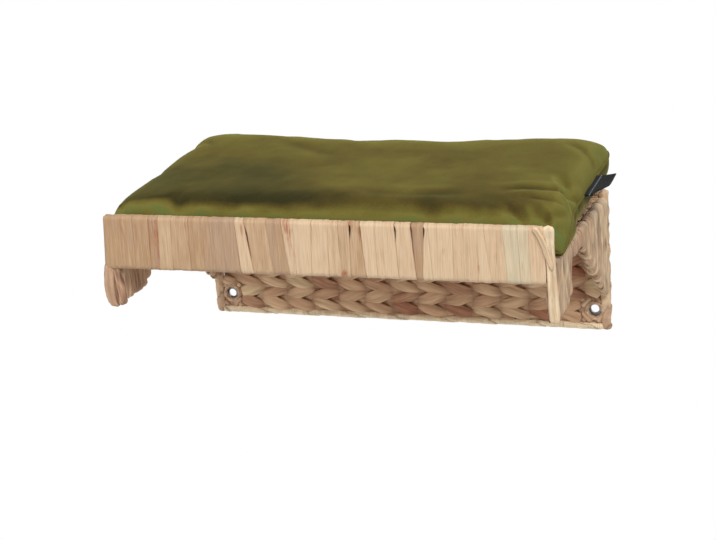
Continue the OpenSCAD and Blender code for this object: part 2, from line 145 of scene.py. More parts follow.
@dataclass(frozen=True)
class Extent:
    """Box of a node of the frame at rest, in millimetres."""

    low: Vector
    high: Vector

    @classmethod
    def of(cls, node: str) -> "Extent":
        """Reads the box of a node."""
        low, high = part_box(node)
        return cls(low / MM, high / MM)

    @property
    def mid(self) -> Vector:
        """Centre of the box."""
        return (self.low + self.high) / 2

    @property
    def size(self) -> Vector:
        """Sizes of the box."""
        return self.high - self.low


class Value:
    """A number socket of a shader, on which Python's operators add Math nodes."""

    def __init__(self, shader: "Shader", socket: bpy.types.NodeSocket) -> None:
        """Holds the socket and the shader that it belongs to."""
        self.shader = shader
        self.socket = socket

    def _math(self, operation: str, *terms: "Value | float", clamp: bool = False) -> "Value":
        """Adds a Math node that takes the terms in order."""
        settings = {"operation": operation, "use_clamp": clamp}
        return self.shader.add("ShaderNodeMath", settings, dict(enumerate(terms)))

    def __add__(self, other: "Value | float") -> "Value":
        """The sum of the two."""
        return self._math("ADD", self, other)

    __radd__ = __add__

    def __sub__(self, other: "Value | float") -> "Value":
        """This number less the other."""
        return self._math("SUBTRACT", self, other)

    def __rsub__(self, other: float) -> "Value":
        """The other number less this one."""
        return self._math("SUBTRACT", other, self)

    def __mul__(self, other: "Value | float") -> "Value":
        """The product of the two."""
        return self._math("MULTIPLY", self, other)

    __rmul__ = __mul__

    def __truediv__(self, other: "Value | float") -> "Value":
        """This number divided by the other."""
        return self._math("DIVIDE", self, other)

    def __rtruediv__(self, other: float) -> "Value":
        """The other number divided by this one."""
        return self._math("DIVIDE", other, self)

    def greater(self, other: "Value") -> "Value":
        """The greater of the two."""
        return self._math("MAXIMUM", self, other)

    def clamped(self) -> "Value":
        """The same number, held between 0 and 1."""
        return self._math("ADD", self, 0.0, clamp=True)

    def wave(self, length: float) -> "Value":
        """A sine that turns once in each length."""
        return self._math("SINE", self * (TURN / length))

    def between(self, low: float, high: float) -> "Value":
        """Rises smoothly from 0 to 1 as the number goes from low to high."""
        settings = {"interpolation_type": "SMOOTHSTEP"}
        return self.shader.add("ShaderNodeMapRange", settings, {0: self, 1: low, 2: high, 3: 0.0, 4: 1.0})

    def twin(self, output: int | str) -> "Value":
        """Another output of the same node."""
        return Value(self.shader, self.socket.node.outputs[output])


class Shader:
    """The nodes of a material, or of the world, under construction."""

    def __init__(self, owner: bpy.types.Material | bpy.types.World) -> None:
        """Empties the nodes of the material or the world.

        Args:
            owner: The material or the world.
        """
        owner.use_nodes = True
        self.owner = owner
        self.nodes = owner.node_tree.nodes
        self.links = owner.node_tree.links
        self.nodes.clear()

    @classmethod
    def named(cls, name: str) -> "Shader":
        """Starts a new material."""
        return cls(bpy.data.materials.new(name))

    def add(self, kind: str, settings: dict | None = None, inputs: dict | None = None,
            output: int | str = 0) -> Value:
        """Adds a node.

        Args:
            kind: The node's type.
            settings: Its properties, set first; "stops" gives a ramp's places and colours.
            inputs: Values or links of its sockets, by name or number.
            output: The socket that is handed back.

        Returns:
            The output socket as a value.
        """
        node = self.nodes.new(kind)
        for name, value in (settings or {}).items():
            if name == "stops":
                self._set_stops(node.color_ramp, value)
            else:
                setattr(node, name, value)
        for key, value in (inputs or {}).items():
            if isinstance(value, Value):
                self.links.new(value.socket, node.inputs[key])
            else:
                node.inputs[key].default_value = value
        return Value(self, node.outputs[output])

    @staticmethod
    def _set_stops(ramp: bpy.types.ColorRamp, stops: Stops) -> None:
        """Gives a colour ramp its stops.

        Args:
            ramp: The ramp, with its first two stops.
            stops: The places and colours, in order.
        """
        first, last = ramp.elements[0], ramp.elements[1]
        last.position = stops[-1][0]
        last.color = (*stops[-1][1], 1.0)
        first.position = stops[0][0]
        first.color = (*stops[0][1], 1.0)
        for place, colour in stops[1:-1]:
            ramp.elements.new(place).color = (*colour, 1.0)

    def mix(self, share: Value | float, first: Value | Colour, second: Value | Colour,
            blend_type: str = "MIX") -> Value:
        """Mixes two colours by a share of the second.

        Args:
            share: Share of the second colour.
            first: The colour at 0.
            second: The colour at 1.
            blend_type: How the second is laid over the first.

        Returns:
            The mixed colour.
        """
        sockets = {0: share, 6: self.colour(first), 7: self.colour(second)}
        settings = {"data_type": "RGBA", "blend_type": blend_type}
        return self.add("ShaderNodeMix", settings, sockets, 2)

    @staticmethod
    def colour(value: Value | Colour) -> Value | tuple[float, ...]:
        """Gives a plain colour its fourth share, and leaves a socket as it is."""
        return value if isinstance(value, Value) else (*value, 1.0)

    def number(self, attribute: str) -> Value:
        """Reads a number that the mesh carries on its points."""
        return self.add("ShaderNodeAttribute", {"attribute_name": attribute}, output="Fac")

    def axes(self, vector: Value) -> tuple[Value, Value, Value]:
        """Splits a vector into its three numbers."""
        first = self.add("ShaderNodeSeparateXYZ", inputs={0: vector})
        return first, first.twin(1), first.twin(2)

    def vector(self, x: Value | float, y: Value | float, z: Value | float) -> Value:
        """Joins three numbers into a vector."""
        return self.add("ShaderNodeCombineXYZ", inputs={0: x, 1: y, 2: z})

    def noise(self, place: Value, scale: float = 1.0, detail: float = 2.0, roughness: float = 0.5) -> Value:
        """Adds noise from 0 to 1 over a place."""
        sockets = {"Vector": place, "Scale": scale, "Detail": detail, "Roughness": roughness}
        return self.add("ShaderNodeTexNoise", inputs=sockets)

    def ramp(self, share: Value, stops: Stops) -> Value:
        """Picks a colour from stops."""
        return self.add("ShaderNodeValToRGB", {"stops": stops}, {0: share}, "Color")

    def bump(self, height: Value, distance: float, strength: float = 1.0) -> Value:
        """Turns a height into a normal.

        Args:
            height: The height, from 0 to 1.
            distance: How far 1 stands out, in millimetres.
            strength: Share of the effect.

        Returns:
            The bent normal.
        """
        sockets = {"Height": height, "Distance": distance * MM, "Strength": strength}
        return self.add("ShaderNodeBump", inputs=sockets)

    def surface(self, **sockets: Value | float | Colour) -> bpy.types.Material:
        """Ends the material with a Principled surface.

        Args:
            **sockets: Its sockets, with words joined by underscores.

        Returns:
            The finished material.
        """
        spelled = {"ior": "IOR", "specular_ior_level": "Specular IOR Level"}
        inputs = {spelled.get(key, key.replace("_", " ").title()): self.colour(value)
                  if isinstance(value, tuple) else value for key, value in sockets.items()}
        self.close(self.add("ShaderNodeBsdfPrincipled", inputs=inputs))
        return self.owner

    def close(self, shader: Value, kind: str = "ShaderNodeOutputMaterial") -> None:
        """Ends the nodes with an output that shows a shader."""
        self.links.new(shader.socket, self.nodes.new(kind).inputs["Surface"])


@dataclass(frozen=True)
class LeafFinish:
    """Dried leaf: colours picked by each leaf's tint, fine fibres and blotches, with painted shade laid on in
    hollows, folds and seams.

    Each grain says how far its marks lie apart across the leaf, and how long they run along it.
    """

    name: str
    stops: Stops
    streak: Colour = rgb(140, 70, 42)
    streak_share: float = 0.5
    stain: Colour = rgb(152, 72, 34)
    # Colour of the painted shade, laid on where a point's painted light is low.
    shade: Colour = rgb(74, 46, 30)
    mottle: float = 0.34
    fibre_share: float = 0.34
    fibre_dark: Colour = rgb(176, 140, 104)
    fibre_pale: Colour = rgb(242, 222, 186)
    pale_share: float = 0.2
    fibre_grain: Span = (0.75, 32.0)
    vein_grain: Span = (3.2, 55.0)
    blotch_grain: Span = (11.0, 26.0)
    streak_grain: Span = (2.1, 48.0)
    stain_grain: Span = (1.5, 20.0)
    fibre_depth: float = 0.3
    roughness: float = 0.62

    def material(self) -> bpy.types.Material:
        """Builds the material."""
        leaf = Shader.named(self.name)
        tint = leaf.number("tint")
        across, along, _ = leaf.axes(leaf.add("ShaderNodeUVMap", {"uv_map": "leaf"}))

        def grain(gap: float, run: float, layer: Value | float, detail: float = 2.0) -> Value:
            """Noise that is drawn out along the leaf."""
            return leaf.noise(leaf.vector(across / gap, along / run, layer), detail=detail)

        fibre = grain(*self.fibre_grain, tint * 31, 3.0)
        vein = grain(*self.vein_grain, tint * 17)
        blotch = grain(*self.blotch_grain, tint * 9)
        picked = (tint + (blotch - 0.5) * self.mottle + (vein - 0.5) * self.mottle).clamped()
        dark = (1 - fibre).between(0.42, 0.78) * self.fibre_share
        colour = leaf.mix(dark, leaf.ramp(picked, self.stops), self.fibre_dark, "MULTIPLY")
        colour = leaf.mix(fibre.between(0.52, 0.8) * self.pale_share, colour, self.fibre_pale)
        streak = grain(*self.streak_grain, tint * 53, 3.0)
        red = streak.between(0.62, 0.74) * blotch.between(0.4, 0.6) * self.streak_share
        colour = leaf.mix(red, colour, self.streak)
        ragged = grain(*self.stain_grain, 3.0).between(0.35, 0.65)
        stain = (leaf.number("stain") * (0.35 + ragged * 0.75)).clamped()
        colour = leaf.mix(stain, colour, self.stain)
        # Painted shade: darkens towards the shade colour where the mesh's painted light is low.
        colour = leaf.mix((1 - leaf.number("hollow")).clamped(), colour, self.shade)
        return leaf.surface(base_color=colour, roughness=self.roughness, specular_ior_level=0.35,
                            normal=leaf.bump(fibre * 0.6 + vein * 0.4, self.fibre_depth, 0.8))


@dataclass(frozen=True)
class VelvetFinish:
    """Cut velvet: olive pile that turns browner or greener by a value on the mesh that is mostly painted
    light and shade.

    Each scale says how many clouds, brush marks or threads a metre holds.
    """

    name: str = "olive_velvet"
    # Colours from the darkest painted shade to the greenest painted sheen.
    stops: Stops = ((0.0, rgb(36, 33, 9)), (0.25, rgb(66, 54, 17)), (0.5, rgb(84, 76, 28)),
                    (0.68, rgb(98, 91, 39)), (0.92, rgb(82, 92, 43)))
    thread: Colour = rgb(122, 116, 58)
    glow: Colour = rgb(184, 176, 92)
    cloud_scale: float = 9.0
    brush_scale: float = 34.0
    pile_scale: float = 800.0

    def material(self) -> bpy.types.Material:
        """Builds the material."""
        cloth = Shader.named(self.name)
        place = cloth.add("ShaderNodeTexCoord", output="Object")
        cloud = cloth.noise(place, self.cloud_scale, 3.0)
        brushed = cloth.noise(place, self.brush_scale, 4.0, 0.6)
        pile = cloth.noise(place, self.pile_scale, 2.0, 0.7)
        # The mesh's value is mostly painted light and shade; clouds and brush marks add random tone.
        lie = (cloth.number("nap") + (cloud - 0.5) * 0.4 + (brushed - 0.5) * 0.3).clamped()
        # More pale threads show where more light is painted.
        threads = pile.between(0.35, 0.65) * (0.04 + lie * 0.2)
        return cloth.surface(base_color=cloth.mix(threads, cloth.ramp(lie, self.stops), self.thread),
                             roughness=0.92, specular_ior_level=0.15, sheen_weight=0.45,
                             sheen_roughness=0.4, sheen_tint=self.glow,
                             normal=cloth.bump(pile * 0.6 + brushed * 0.4, 0.35, 0.5))


@dataclass(frozen=True)
class SteelFinish:
    """Bare or painted steel with faint wear."""

    name: str
    colour: Colour
    worn: Colour
    metallic: float
    roughness: float
    wear_scale: float = 120.0
    grain_scale: float = 900.0

    def material(self) -> bpy.types.Material:
        """Builds the material."""
        steel = Shader.named(self.name)
        place = steel.add("ShaderNodeTexCoord", output="Object")
        wear = steel.noise(place, self.wear_scale, 4.0, 0.6)
        grain = steel.noise(place, self.grain_scale, 2.0)
        rough = (self.roughness + (wear - 0.5) * 0.3).clamped()
        return steel.surface(base_color=steel.mix(wear.between(0.55, 0.7), self.colour, self.worn),
                             metallic=self.metallic, roughness=rough, normal=steel.bump(grain, 0.05, 0.5))


@dataclass(frozen=True)
class RibbonFinish:
    """Woven ribbon: fine ribs, with a lighter line of stitches near its root."""

    name: str = "label_ribbon"
    colour: Colour = rgb(9, 10, 13)
    rib: Colour = rgb(22, 24, 29)
    thread: Colour = rgb(128, 130, 136)
    rib_gap: float = 0.9
    weave_gap: float = 0.5
    line: tuple[Span, Span] = ((5.4, 5.8), (6.6, 7.0))
    stitch_run: float = 3.4

    def material(self) -> bpy.types.Material:
        """Builds the material."""
        ribbon = Shader.named(self.name)
        along, out, _ = ribbon.axes(ribbon.add("ShaderNodeUVMap", {"uv_map": "leaf"}))
        weave = ribbon.noise(ribbon.vector(along / self.weave_gap, out / self.weave_gap, 0.0), detail=1.0)
        near, far = self.line
        line = out.between(*near) * (1 - out.between(*far))
        colour = ribbon.mix(weave * 0.4, self.colour, self.rib)
        colour = ribbon.mix(line * along.wave(self.stitch_run).between(-0.2, 0.2), colour, self.thread)
        return ribbon.surface(base_color=colour, roughness=0.6, specular_ior_level=0.2,
                              normal=ribbon.bump(along.wave(self.rib_gap) * 0.3 + weave * 0.5, 0.12, 0.6))


APRON_LEAF = LeafFinish("apron_leaf", (
    (0.0, rgb(144, 94, 68)), (0.18, rgb(176, 147, 122)), (0.36, rgb(178, 144, 109)),
    (0.6, rgb(211, 182, 149)), (0.8, rgb(216, 192, 158)), (1.0, rgb(203, 187, 157))), mottle=0.22,
    fibre_share=0.3, fibre_grain=(0.9, 32.0))
WOVEN_LEAF = LeafFinish("woven_leaf", (
    (0.0, rgb(166, 110, 80)), (0.2, rgb(192, 150, 116)), (0.5, rgb(214, 174, 136)),
    (0.8, rgb(226, 194, 154)), (1.0, rgb(220, 194, 152))), shade=rgb(106, 64, 42),
    fibre_depth=0.4)
WRAP_LEAF = LeafFinish("wrap_leaf", (
    (0.0, rgb(172, 130, 102)), (0.3, rgb(196, 158, 128)), (0.6, rgb(212, 178, 144)),
    (0.85, rgb(226, 198, 162)), (1.0, rgb(244, 222, 186))), streak_share=0.4)
VELVET = VelvetFinish()
PAINTED_WIRE = SteelFinish("painted_wire", rgb(60, 54, 48), rgb(96, 84, 72), 0.2, 0.5)
PLATE_STEEL = SteelFinish("plate_steel", rgb(168, 170, 172), rgb(132, 132, 130), 0.9, 0.38)
RIBBON = RibbonFinish()


@dataclass(frozen=True)
class Spot:
    """A point of a surface: its place, its place on the flat leaf, its tint, its painted light (low where
    shade is painted) and its stain.
    """

    place: Vector
    across: float
    along: float
    tint: float = 0.5
    hollow: float = 1.0
    stain: float = 0.0


@dataclass(frozen=True)
class Ring:
    """A cross-section of a strand: its centre, its two axes, its half sizes, its tint and its painted light.
    """

    centre: Vector
    wide: Vector
    thick: Vector
    half_w: float
    half_t: float
    along: float
    tint: float = 0.5
    hollow: float = 1.0


@dataclass(frozen=True)
class Ridges:
    """Lengthwise folds in a strand's surface, with painted light on their crests and painted shade in their
    valleys and where strands part.
    """

    seed: float
    height: float = 0.35
    count: float = 1.6
    run: float = 22.0
    # How much painted light the folds' crests take and painted shade their valleys.
    shade: float = 0.3
    parting: float = 0.0
    part_run: float = 9.0
    least_part: float = 0.35

    def dark(self, angle: float, along: float) -> float:
        """How much painted shade darkens the strand's edges where they part from the next strand.

        Args:
            angle: Angle round the section.
            along: Distance along the strand.

        Returns:
            The darkness, from 0 to 1.
        """
        edge = math.cos(angle)
        parted = ease(-0.3, 0.4, ripple(self.seed + 5, along / self.part_run, math.copysign(3.0, edge)))
        return self.parting * abs(edge) ** 5 * blend(self.least_part, 1.0, parted)

    def share(self, angle: float, along: float) -> float:
        """How far a fold stands out, from about -1 to 1."""
        across, up = self.count * math.cos(angle), self.count * math.sin(angle)
        return 1.6 * ripple(across, up + self.seed, along / self.run)


def shown(name: str, data: bpy.types.ID) -> bpy.types.Object:
    """Makes an object and adds it to the scene.

    Args:
        name: Its name.
        data: Its mesh, lamp or camera.

    Returns:
        The object.
    """
    made = bpy.data.objects.new(name, data)
    bpy.context.scene.collection.objects.link(made)
    return made


def from_mesh(name: str, mesh: bmesh.types.BMesh, finish: bpy.types.Material) -> bpy.types.Object:
    """Makes an object of a finished mesh.

    Args:
        name: Its name.
        mesh: Its mesh, which is freed.
        finish: Its material.

    Returns:
        The object.
    """
    data = bpy.data.meshes.new(name)
    mesh.to_mesh(data)
    mesh.free()
    data.materials.append(finish)
    return shown(name, data)


class Surface:
    """A mesh under construction, in millimetres."""

    # Painted light of a tube where no fold stands out; the rest is painted shade.
    tube_open = 0.88

    def __init__(self, name: str) -> None:
        """Starts an empty mesh.

        Args:
            name: Name of the piece that it becomes.
        """
        self.name = name
        self.mesh = bmesh.new()
        self.leaf = self.mesh.loops.layers.uv.new("leaf")
        self.tint = self.mesh.verts.layers.float.new("tint")
        # Painted light of each point; where it is low, shade is painted on.
        self.hollow = self.mesh.verts.layers.float.new("hollow")
        self.stain = self.mesh.verts.layers.float.new("stain")

    def sheet(self, across: int, along: int, spot: Callable[[int, int], Spot],
              closed_across: bool = False, closed_along: bool = False) -> list[bmesh.types.BMVert]:
        """Adds a grid of faces and bends it to shape.

        Args:
            across: Faces across the grid.
            along: Faces along the grid.
            spot: Gives the spot of the grid's point i across and j along.
            closed_across: Whether the last column is joined to the first.
            closed_along: Whether the last row is joined to the first.

        Returns:
            The grid's points, row by row, before the join.
        """
        verts = bmesh.ops.create_grid(self.mesh, x_segments=across, y_segments=along, size=0.5)["verts"]
        twins = {}
        for k, vert in enumerate(verts):
            j, i = divmod(k, across + 1)
            made = spot(i, j)
            vert.co = made.place
            vert[self.tint] = made.tint
            vert[self.hollow] = made.hollow
            vert[self.stain] = made.stain
            for loop in vert.link_loops:
                loop[self.leaf].uv = (made.across, made.along)
            column = 0 if closed_across and i == across else i
            row = 0 if closed_along and j == along else j
            if (column, row) != (i, j):
                twins[vert] = verts[row * (across + 1) + column]
        if twins:
            bmesh.ops.weld_verts(self.mesh, targetmap=twins)
        return verts

    def tube(self, rings: Sequence[Ring], sides: int, ridges: Ridges | None = None,
             closed: bool = False) -> None:
        """Sweeps a flattened section through rings.

        Args:
            rings: The cross-sections in order; a closed tube ends with its first ring.
            sides: Faces round the section.
            ridges: Folds of its surface.
            closed: Whether the tube closes on itself; otherwise its ends are closed.
        """
        def spot(i: int, j: int) -> Spot:
            """A point of the section of ring j.

            Args:
                i: Place round the section.
                j: Number of the ring.

            Returns:
                The point.
            """
            ring = rings[j]
            angle = TURN * i / sides
            rise = shade = dark = 0.0
            if ridges:
                run = rings[0].along if closed and j == len(rings) - 1 else ring.along
                fold = ridges.share(angle, run)
                rise = fold * ridges.height
                shade = fold * ridges.shade
                dark = ridges.dark(angle, run)
            place = (ring.centre + ring.wide * (math.cos(angle) * (ring.half_w + rise))
                     + ring.thick * (math.sin(angle) * (ring.half_t + rise)))
            girth = math.pi * (ring.half_w + ring.half_t)
            # Painted shade: darker in fold valleys and at the edges where strands part, lighter on the
            # crests.
            hollow = ring.hollow * (self.tube_open + shade) * (1 - dark)
            return Spot(place, girth * i / sides, ring.along, ring.tint, hollow)

        verts = self.sheet(sides, len(rings) - 1, spot, True, closed)
        if not closed:
            self.draw_ends(verts, sides, rings[0].centre, rings[-1].centre)

    def draw_ends(self, verts: Sequence[bmesh.types.BMVert], sides: int, start: Vector, end: Vector) -> None:
        """Closes the ends of a tube by drawing its end rings together.

        Args:
            verts: The tube's points, row by row, before their join.
            sides: Faces round the tube.
            start: Where its first ring is drawn together.
            end: Where its last ring is drawn together.
        """
        for ring, pole in ((verts[:sides], start), (verts[-sides - 1:-1], end)):
            bmesh.ops.pointmerge(self.mesh, verts=ring, merge_co=pole)

    def piece(self, finish: bpy.types.Material, slot: str, body: Body, nodes: Sequence[str] = (),
              outward: bool = True) -> bpy.types.Object:
        """Makes the finished piece, in metres, and ties it to its body.

        Args:
            finish: The material.
            slot: The record's material slot; not used.
            body: The body that it rides on.
            nodes: The nodes of the frame that it stands for.
            outward: Whether its faces are turned outwards here.

        Returns:
            The piece.
        """
        if outward:
            bmesh.ops.recalc_face_normals(self.mesh, faces=self.mesh.faces)
        bmesh.ops.scale(self.mesh, vec=(MM, MM, MM), verts=self.mesh.verts)
        made = from_mesh(self.name, self.mesh, finish)
        made.data.shade_smooth()
        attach(made, body.value)
        if nodes:
            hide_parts(*nodes)
        log.info("%s: %d faces", self.name, len(made.data.polygons))
        return made


class Winding(Surface):
    """Wound leaf that stands for a node of the frame and is named after it."""

    def __init__(self, node: str) -> None:
        """Starts an empty mesh."""
        super().__init__(node.replace("_wrap", "_winding"))
        self.node = node

    def done(self, finish: bpy.types.Material) -> None:
        """Makes the finished piece."""
        self.piece(finish, "leaf_wrap", Body.PLATFORM, (self.node,))


@dataclass(frozen=True)
class Station:
    """A place on a loop round two rails: its offset and level, the outward direction and its length."""

    offset: float
    level: float
    out: float
    up: float
    along: float


def loop_stations(top: float, low: float, half: float, gap: float, arc_steps: int = 8) -> list[Station]:
    """Walks round a flat loop with round ends, up its front and down its back.

    Args:
        top: Highest level of the loop.
        low: Lowest level of the loop.
        half: Half of its thickness.
        gap: Rough distance between stations on the straight sides.
        arc_steps: Steps in each round end.

    Returns:
        The stations, with the first repeated at the end.
    """
    foot, head = low + half, top - half
    straight = head - foot
    arc = math.pi * half
    steps = max(2, round(straight / gap))
    stations = []
    for turned, start, end, base in ((1, foot, head, 0.0), (-1, head, foot, straight + arc)):
        for k in range(steps):
            run = straight * k / steps
            stations.append(Station(-turned * half, start + turned * run, -turned, 0, base + run))
        for k in range(arc_steps):
            angle = math.pi * k / arc_steps
            out, up = -turned * math.cos(angle), turned * math.sin(angle)
            stations.append(Station(half * out, end + half * up, out, up, base + straight + half * angle))
    return stations + [replace(stations[0], along=2 * (straight + arc))]


@dataclass
class WoundRod:
    """Leaf wound round a straight rod in turns that overlap a little."""

    start: Vector
    end: Vector
    radius: float
    seed: str
    turn: float = 11.0
    step: float = 0.7
    lump: float = 0.5
    lump_run: float = 9.0
    tints: Span = (0.3, 0.8)
    round_end: float = 3.0
    tip: float = 0.4
    ring_gap: float = 1.5
    sides: int = 24

    def add_to(self, surface: Surface) -> None:
        """Adds the winding to a surface.

        Args:
            surface: The mesh under construction.
        """
        chance = random.Random(self.seed)
        shift = chance.uniform(0, 100)
        axis = self.end - self.start
        length = axis.length
        axis.normalize()
        first = (DEPTH - axis * DEPTH.dot(axis)).normalized()
        second = axis.cross(first)
        count = round(length / self.ring_gap)
        tints = [chance.uniform(*self.tints) for _ in range(round(length / self.turn) + 4)]

        def spot(i: int, j: int) -> Spot:
            """A point i round the rod and j along it.

            Args:
                i: Place round the rod.
                j: Place along the rod.

            Returns:
                The point.
            """
            along = length * j / count
            angle = TURN * i / self.sides
            x, y = math.cos(angle), math.sin(angle)
            wobble = 0.25 * ripple(x + shift, y, along / 14)
            winding = along / self.turn - i / self.sides + 1.5 + wobble
            share = winding % 1.0
            end_gap = min(along, length - along, self.round_end)
            end = math.sqrt(max(0.0, 1 - (1 - end_gap / self.round_end) ** 2))
            lumps = ripple(1.3 * x + shift, 1.3 * y, along / self.lump_run)
            radius = self.radius - self.step * (1 - ease(0.0, 1.0, share)) * (1 - ease(0.9, 1.0, share) * 0.5)
            radius = blend(self.tip, radius + self.lump * lumps, end)
            place = self.start + axis * along + (first * x + second * y) * radius
            # Painted shade: dark in the groove under each overlapping turn and on sunken lumps.
            hollow = (0.45 + 0.55 * ease(0.0, 0.16, share)) * (0.9 + 0.25 * lumps)
            return Spot(place, along, self.radius * angle, tints[int(winding) % len(tints)], hollow)

        surface.draw_ends(surface.sheet(self.sides, count, spot, True), self.sides, self.start, self.end)


class Plane(Enum):
    """The two woven panels, as the nodes name them."""

    BACK = "back"
    DECK = "deck"


@dataclass
class Weave:
    """A panel of rows, each of two leaf strands twined on straight wires."""

    plane: Plane
    courses: int
    rows: int
    wire_count: int = 13
    rings_per_bay: int = 12
    sides: int = 16
    swing: float = 2.8
    lift: float = 3.9
    half_w: float = 7.1
    pinch_w: float = 5.4
    half_t: float = 1.7
    pinch_t: float = 1.25
    overhang: float = 1.5
    tint: Span = (0.46, 0.22)
    widths: Span = (0.86, 1.2)
    nudge: float = 1.1
    folds: Ridges = Ridges(0.0, height=0.7, count=2.4, run=24, shade=0.34)
    cut_rows: tuple[int, ...] = ()
    cut_x: float = 0.0

    def __post_init__(self) -> None:
        """Reads the wires and the courses from the frame."""
        wires = Extent.of("back_stakes")
        wire_d = wires.size.y
        self.bay = (wires.size.x - wire_d) / (self.wire_count - 1)
        self.first_x = wires.low.x + wire_d / 2
        self.nodes = [f"{self.plane.value}_course_{k:02}" for k in range(1, self.courses + 1)]
        self.boxes = [Extent.of(node) for node in self.nodes]
        self.half_len = max(box.high.x for box in self.boxes)
        self.upright = self.plane is Plane.BACK
        self.middle = self.boxes[0].mid.y if self.upright else self.boxes[0].mid.z

    def to_world(self, x: float, out: float, level: float) -> Vector:
        """Puts a place of the panel into the frame.

        Args:
            x: Place along the row.
            out: How far it stands out of the panel, to the room or upwards.
            level: Place across the rows.

        Returns:
            The place.
        """
        return Vector((x, self.middle - out, level) if self.upright else (x, level, self.middle + out))

    def row_levels(self) -> list[float]:
        """Middle level of each row, from the first course on."""
        levels = []
        for number, box in enumerate(self.boxes):
            rows = min(2, self.rows - 2 * number)
            if self.upright:
                levels += [box.low.z + (k + 0.5) * (box.size.z / rows) for k in range(rows)]
            else:
                levels += [box.high.y - (k + 0.5) * (box.size.y / rows) for k in range(rows)]
        return levels

    def strand(self, surface: Surface, row: int, level: float, phase: int) -> None:
        """Adds one strand of a row.

        Args:
            surface: The mesh under construction.
            row: The row's number.
            level: The row's middle level.
            phase: 0 for the strand that starts in front, 1 for the other.
        """
        chance = random.Random(f"{self.plane.value}_weave {row} {phase}")
        half_len = self.cut_x if row in self.cut_rows else self.half_len + self.overhang
        slant = self.lift * (1 if row % 2 else -1)
        waves = self.wire_count + 4
        tints = [held(chance.gauss(*self.tint)) for _ in range(waves)]
        widths = [chance.uniform(*self.widths) for _ in range(waves)]
        nudges = [chance.uniform(-self.nudge, self.nudge) for _ in range(waves)]
        step = self.bay / self.rings_per_bay
        count = round(2 * half_len / step)
        path = []
        for k in range(count + 1):
            x = -half_len + 2 * half_len * k / count
            wave = (x - self.first_x) / self.bay
            nearest = math.floor(wave + 0.5)
            share = wave + 0.5 - nearest
            near = (nearest + 2) % waves
            other = (nearest + (3 if share > 0.5 else 1)) % waves
            width, nudge = (blend(each[near], each[other], abs(share - 0.5)) for each in (widths, nudges))
            turn = math.pi * (wave + phase)
            front = math.cos(turn)
            out = self.swing * math.copysign(abs(front) ** 0.8, front)
            place = self.to_world(x, out, level + (slant * math.sin(turn) + nudge))
            path.append((place, abs(front) ** 0.75, width, tints[near]))
        rings = []
        panel_out = -DEPTH if self.upright else UP
        for k, (centre, swell, width, tint) in enumerate(path):
            ahead = (path[min(k + 1, count)][0] - path[max(k - 1, 0)][0]).normalized()
            wide = ahead.cross(panel_out).normalized()
            half_w = blend(self.pinch_w, self.half_w, swell) * width
            half_t = blend(self.half_t * self.pinch_t, self.half_t, swell)
            # Painted shade: darker where the strand narrows and crosses between the wires.
            rings.append(Ring(centre, wide, wide.cross(ahead).normalized(), half_w, half_t, k * step, tint,
                              blend(0.5, 1.02, swell ** 0.7)))
        surface.tube(rings, self.sides, replace(self.folds, seed=chance.uniform(0, 90)))

    def build(self, finish: bpy.types.Material) -> None:
        """Builds one piece for each course.

        Args:
            finish: Material of the woven leaf.
        """
        levels = self.row_levels()
        for course, node in enumerate(self.nodes):
            surface = Surface(node.replace("course", "weave"))
            for row in range(2 * course, min(2 * course + 2, self.rows)):
                for phase in (0, 1):
                    self.strand(surface, row, levels[row], phase)
            surface.piece(finish, "leaf_weave", Body.PLATFORM, (node,))


@dataclass
class Rails:
    """The wound rails of the back and the deck."""

    overhang: float = 4.0

    def build(self, finish: bpy.types.Material) -> None:
        """Builds the bottom and top rail of the back and the two rails of the deck.

        Args:
            finish: Material of the wound leaf.
        """
        for place, tints, turn in (("bottom", (0.98, 1.12), 58.0), ("top", (0.3, 0.9), 20.0)):
            winding = Winding(f"{place}_rail_wrap")
            self.rod(Extent.of(winding.node), winding.node, tints, 0.5, turn).add_to(winding)
            winding.done(finish)
        winding = Winding("deck_rail_wraps")
        box = Extent.of(winding.node)
        half = box.size.z / 2
        for y in (box.low.y + half, box.high.y - half):
            low = Vector((box.low.x, y - half, box.low.z))
            high = Vector((box.high.x, y + half, box.high.z))
            self.rod(Extent(low, high), f"deck {y:.0f}", (0.2, 0.7), 0.4, 12.5).add_to(winding)
        winding.done(finish)

    def rod(self, box: Extent, seed: str, tints: Span, lump: float, turn: float) -> WoundRod:
        """Winding that fills a box along X.

        Args:
            box: The box.
            seed: Names its own random choices.
            tints: Least and greatest tint.
            lump: How far lumps stand out.
            turn: Length of the rod that one turn takes.

        Returns:
            The winding.
        """
        start = Vector((box.low.x - self.overhang, box.mid.y, box.mid.z))
        end = Vector((box.high.x + self.overhang, box.mid.y, box.mid.z))
        return WoundRod(start, end, box.size.z / 2, seed, turn=turn, lump=lump, tints=tints, lump_run=10.0)


@dataclass(frozen=True)
class Girth:
    """Form of a strand at one level: its middle and its half widths across and in depth."""

    level: float
    x: float
    half_w: float
    half_t: float

    def toward(self, other: "Girth", level: float) -> "Girth":
        """The form at a level between this one and another.

        Args:
            other: The form at the other level.
            level: The level between.

        Returns:
            The form there.
        """
        share = ease(self.level, other.level, level)
        return Girth(level, *(blend(getattr(self, key), getattr(other, key), share)
                              for key in ("x", "half_w", "half_t")))


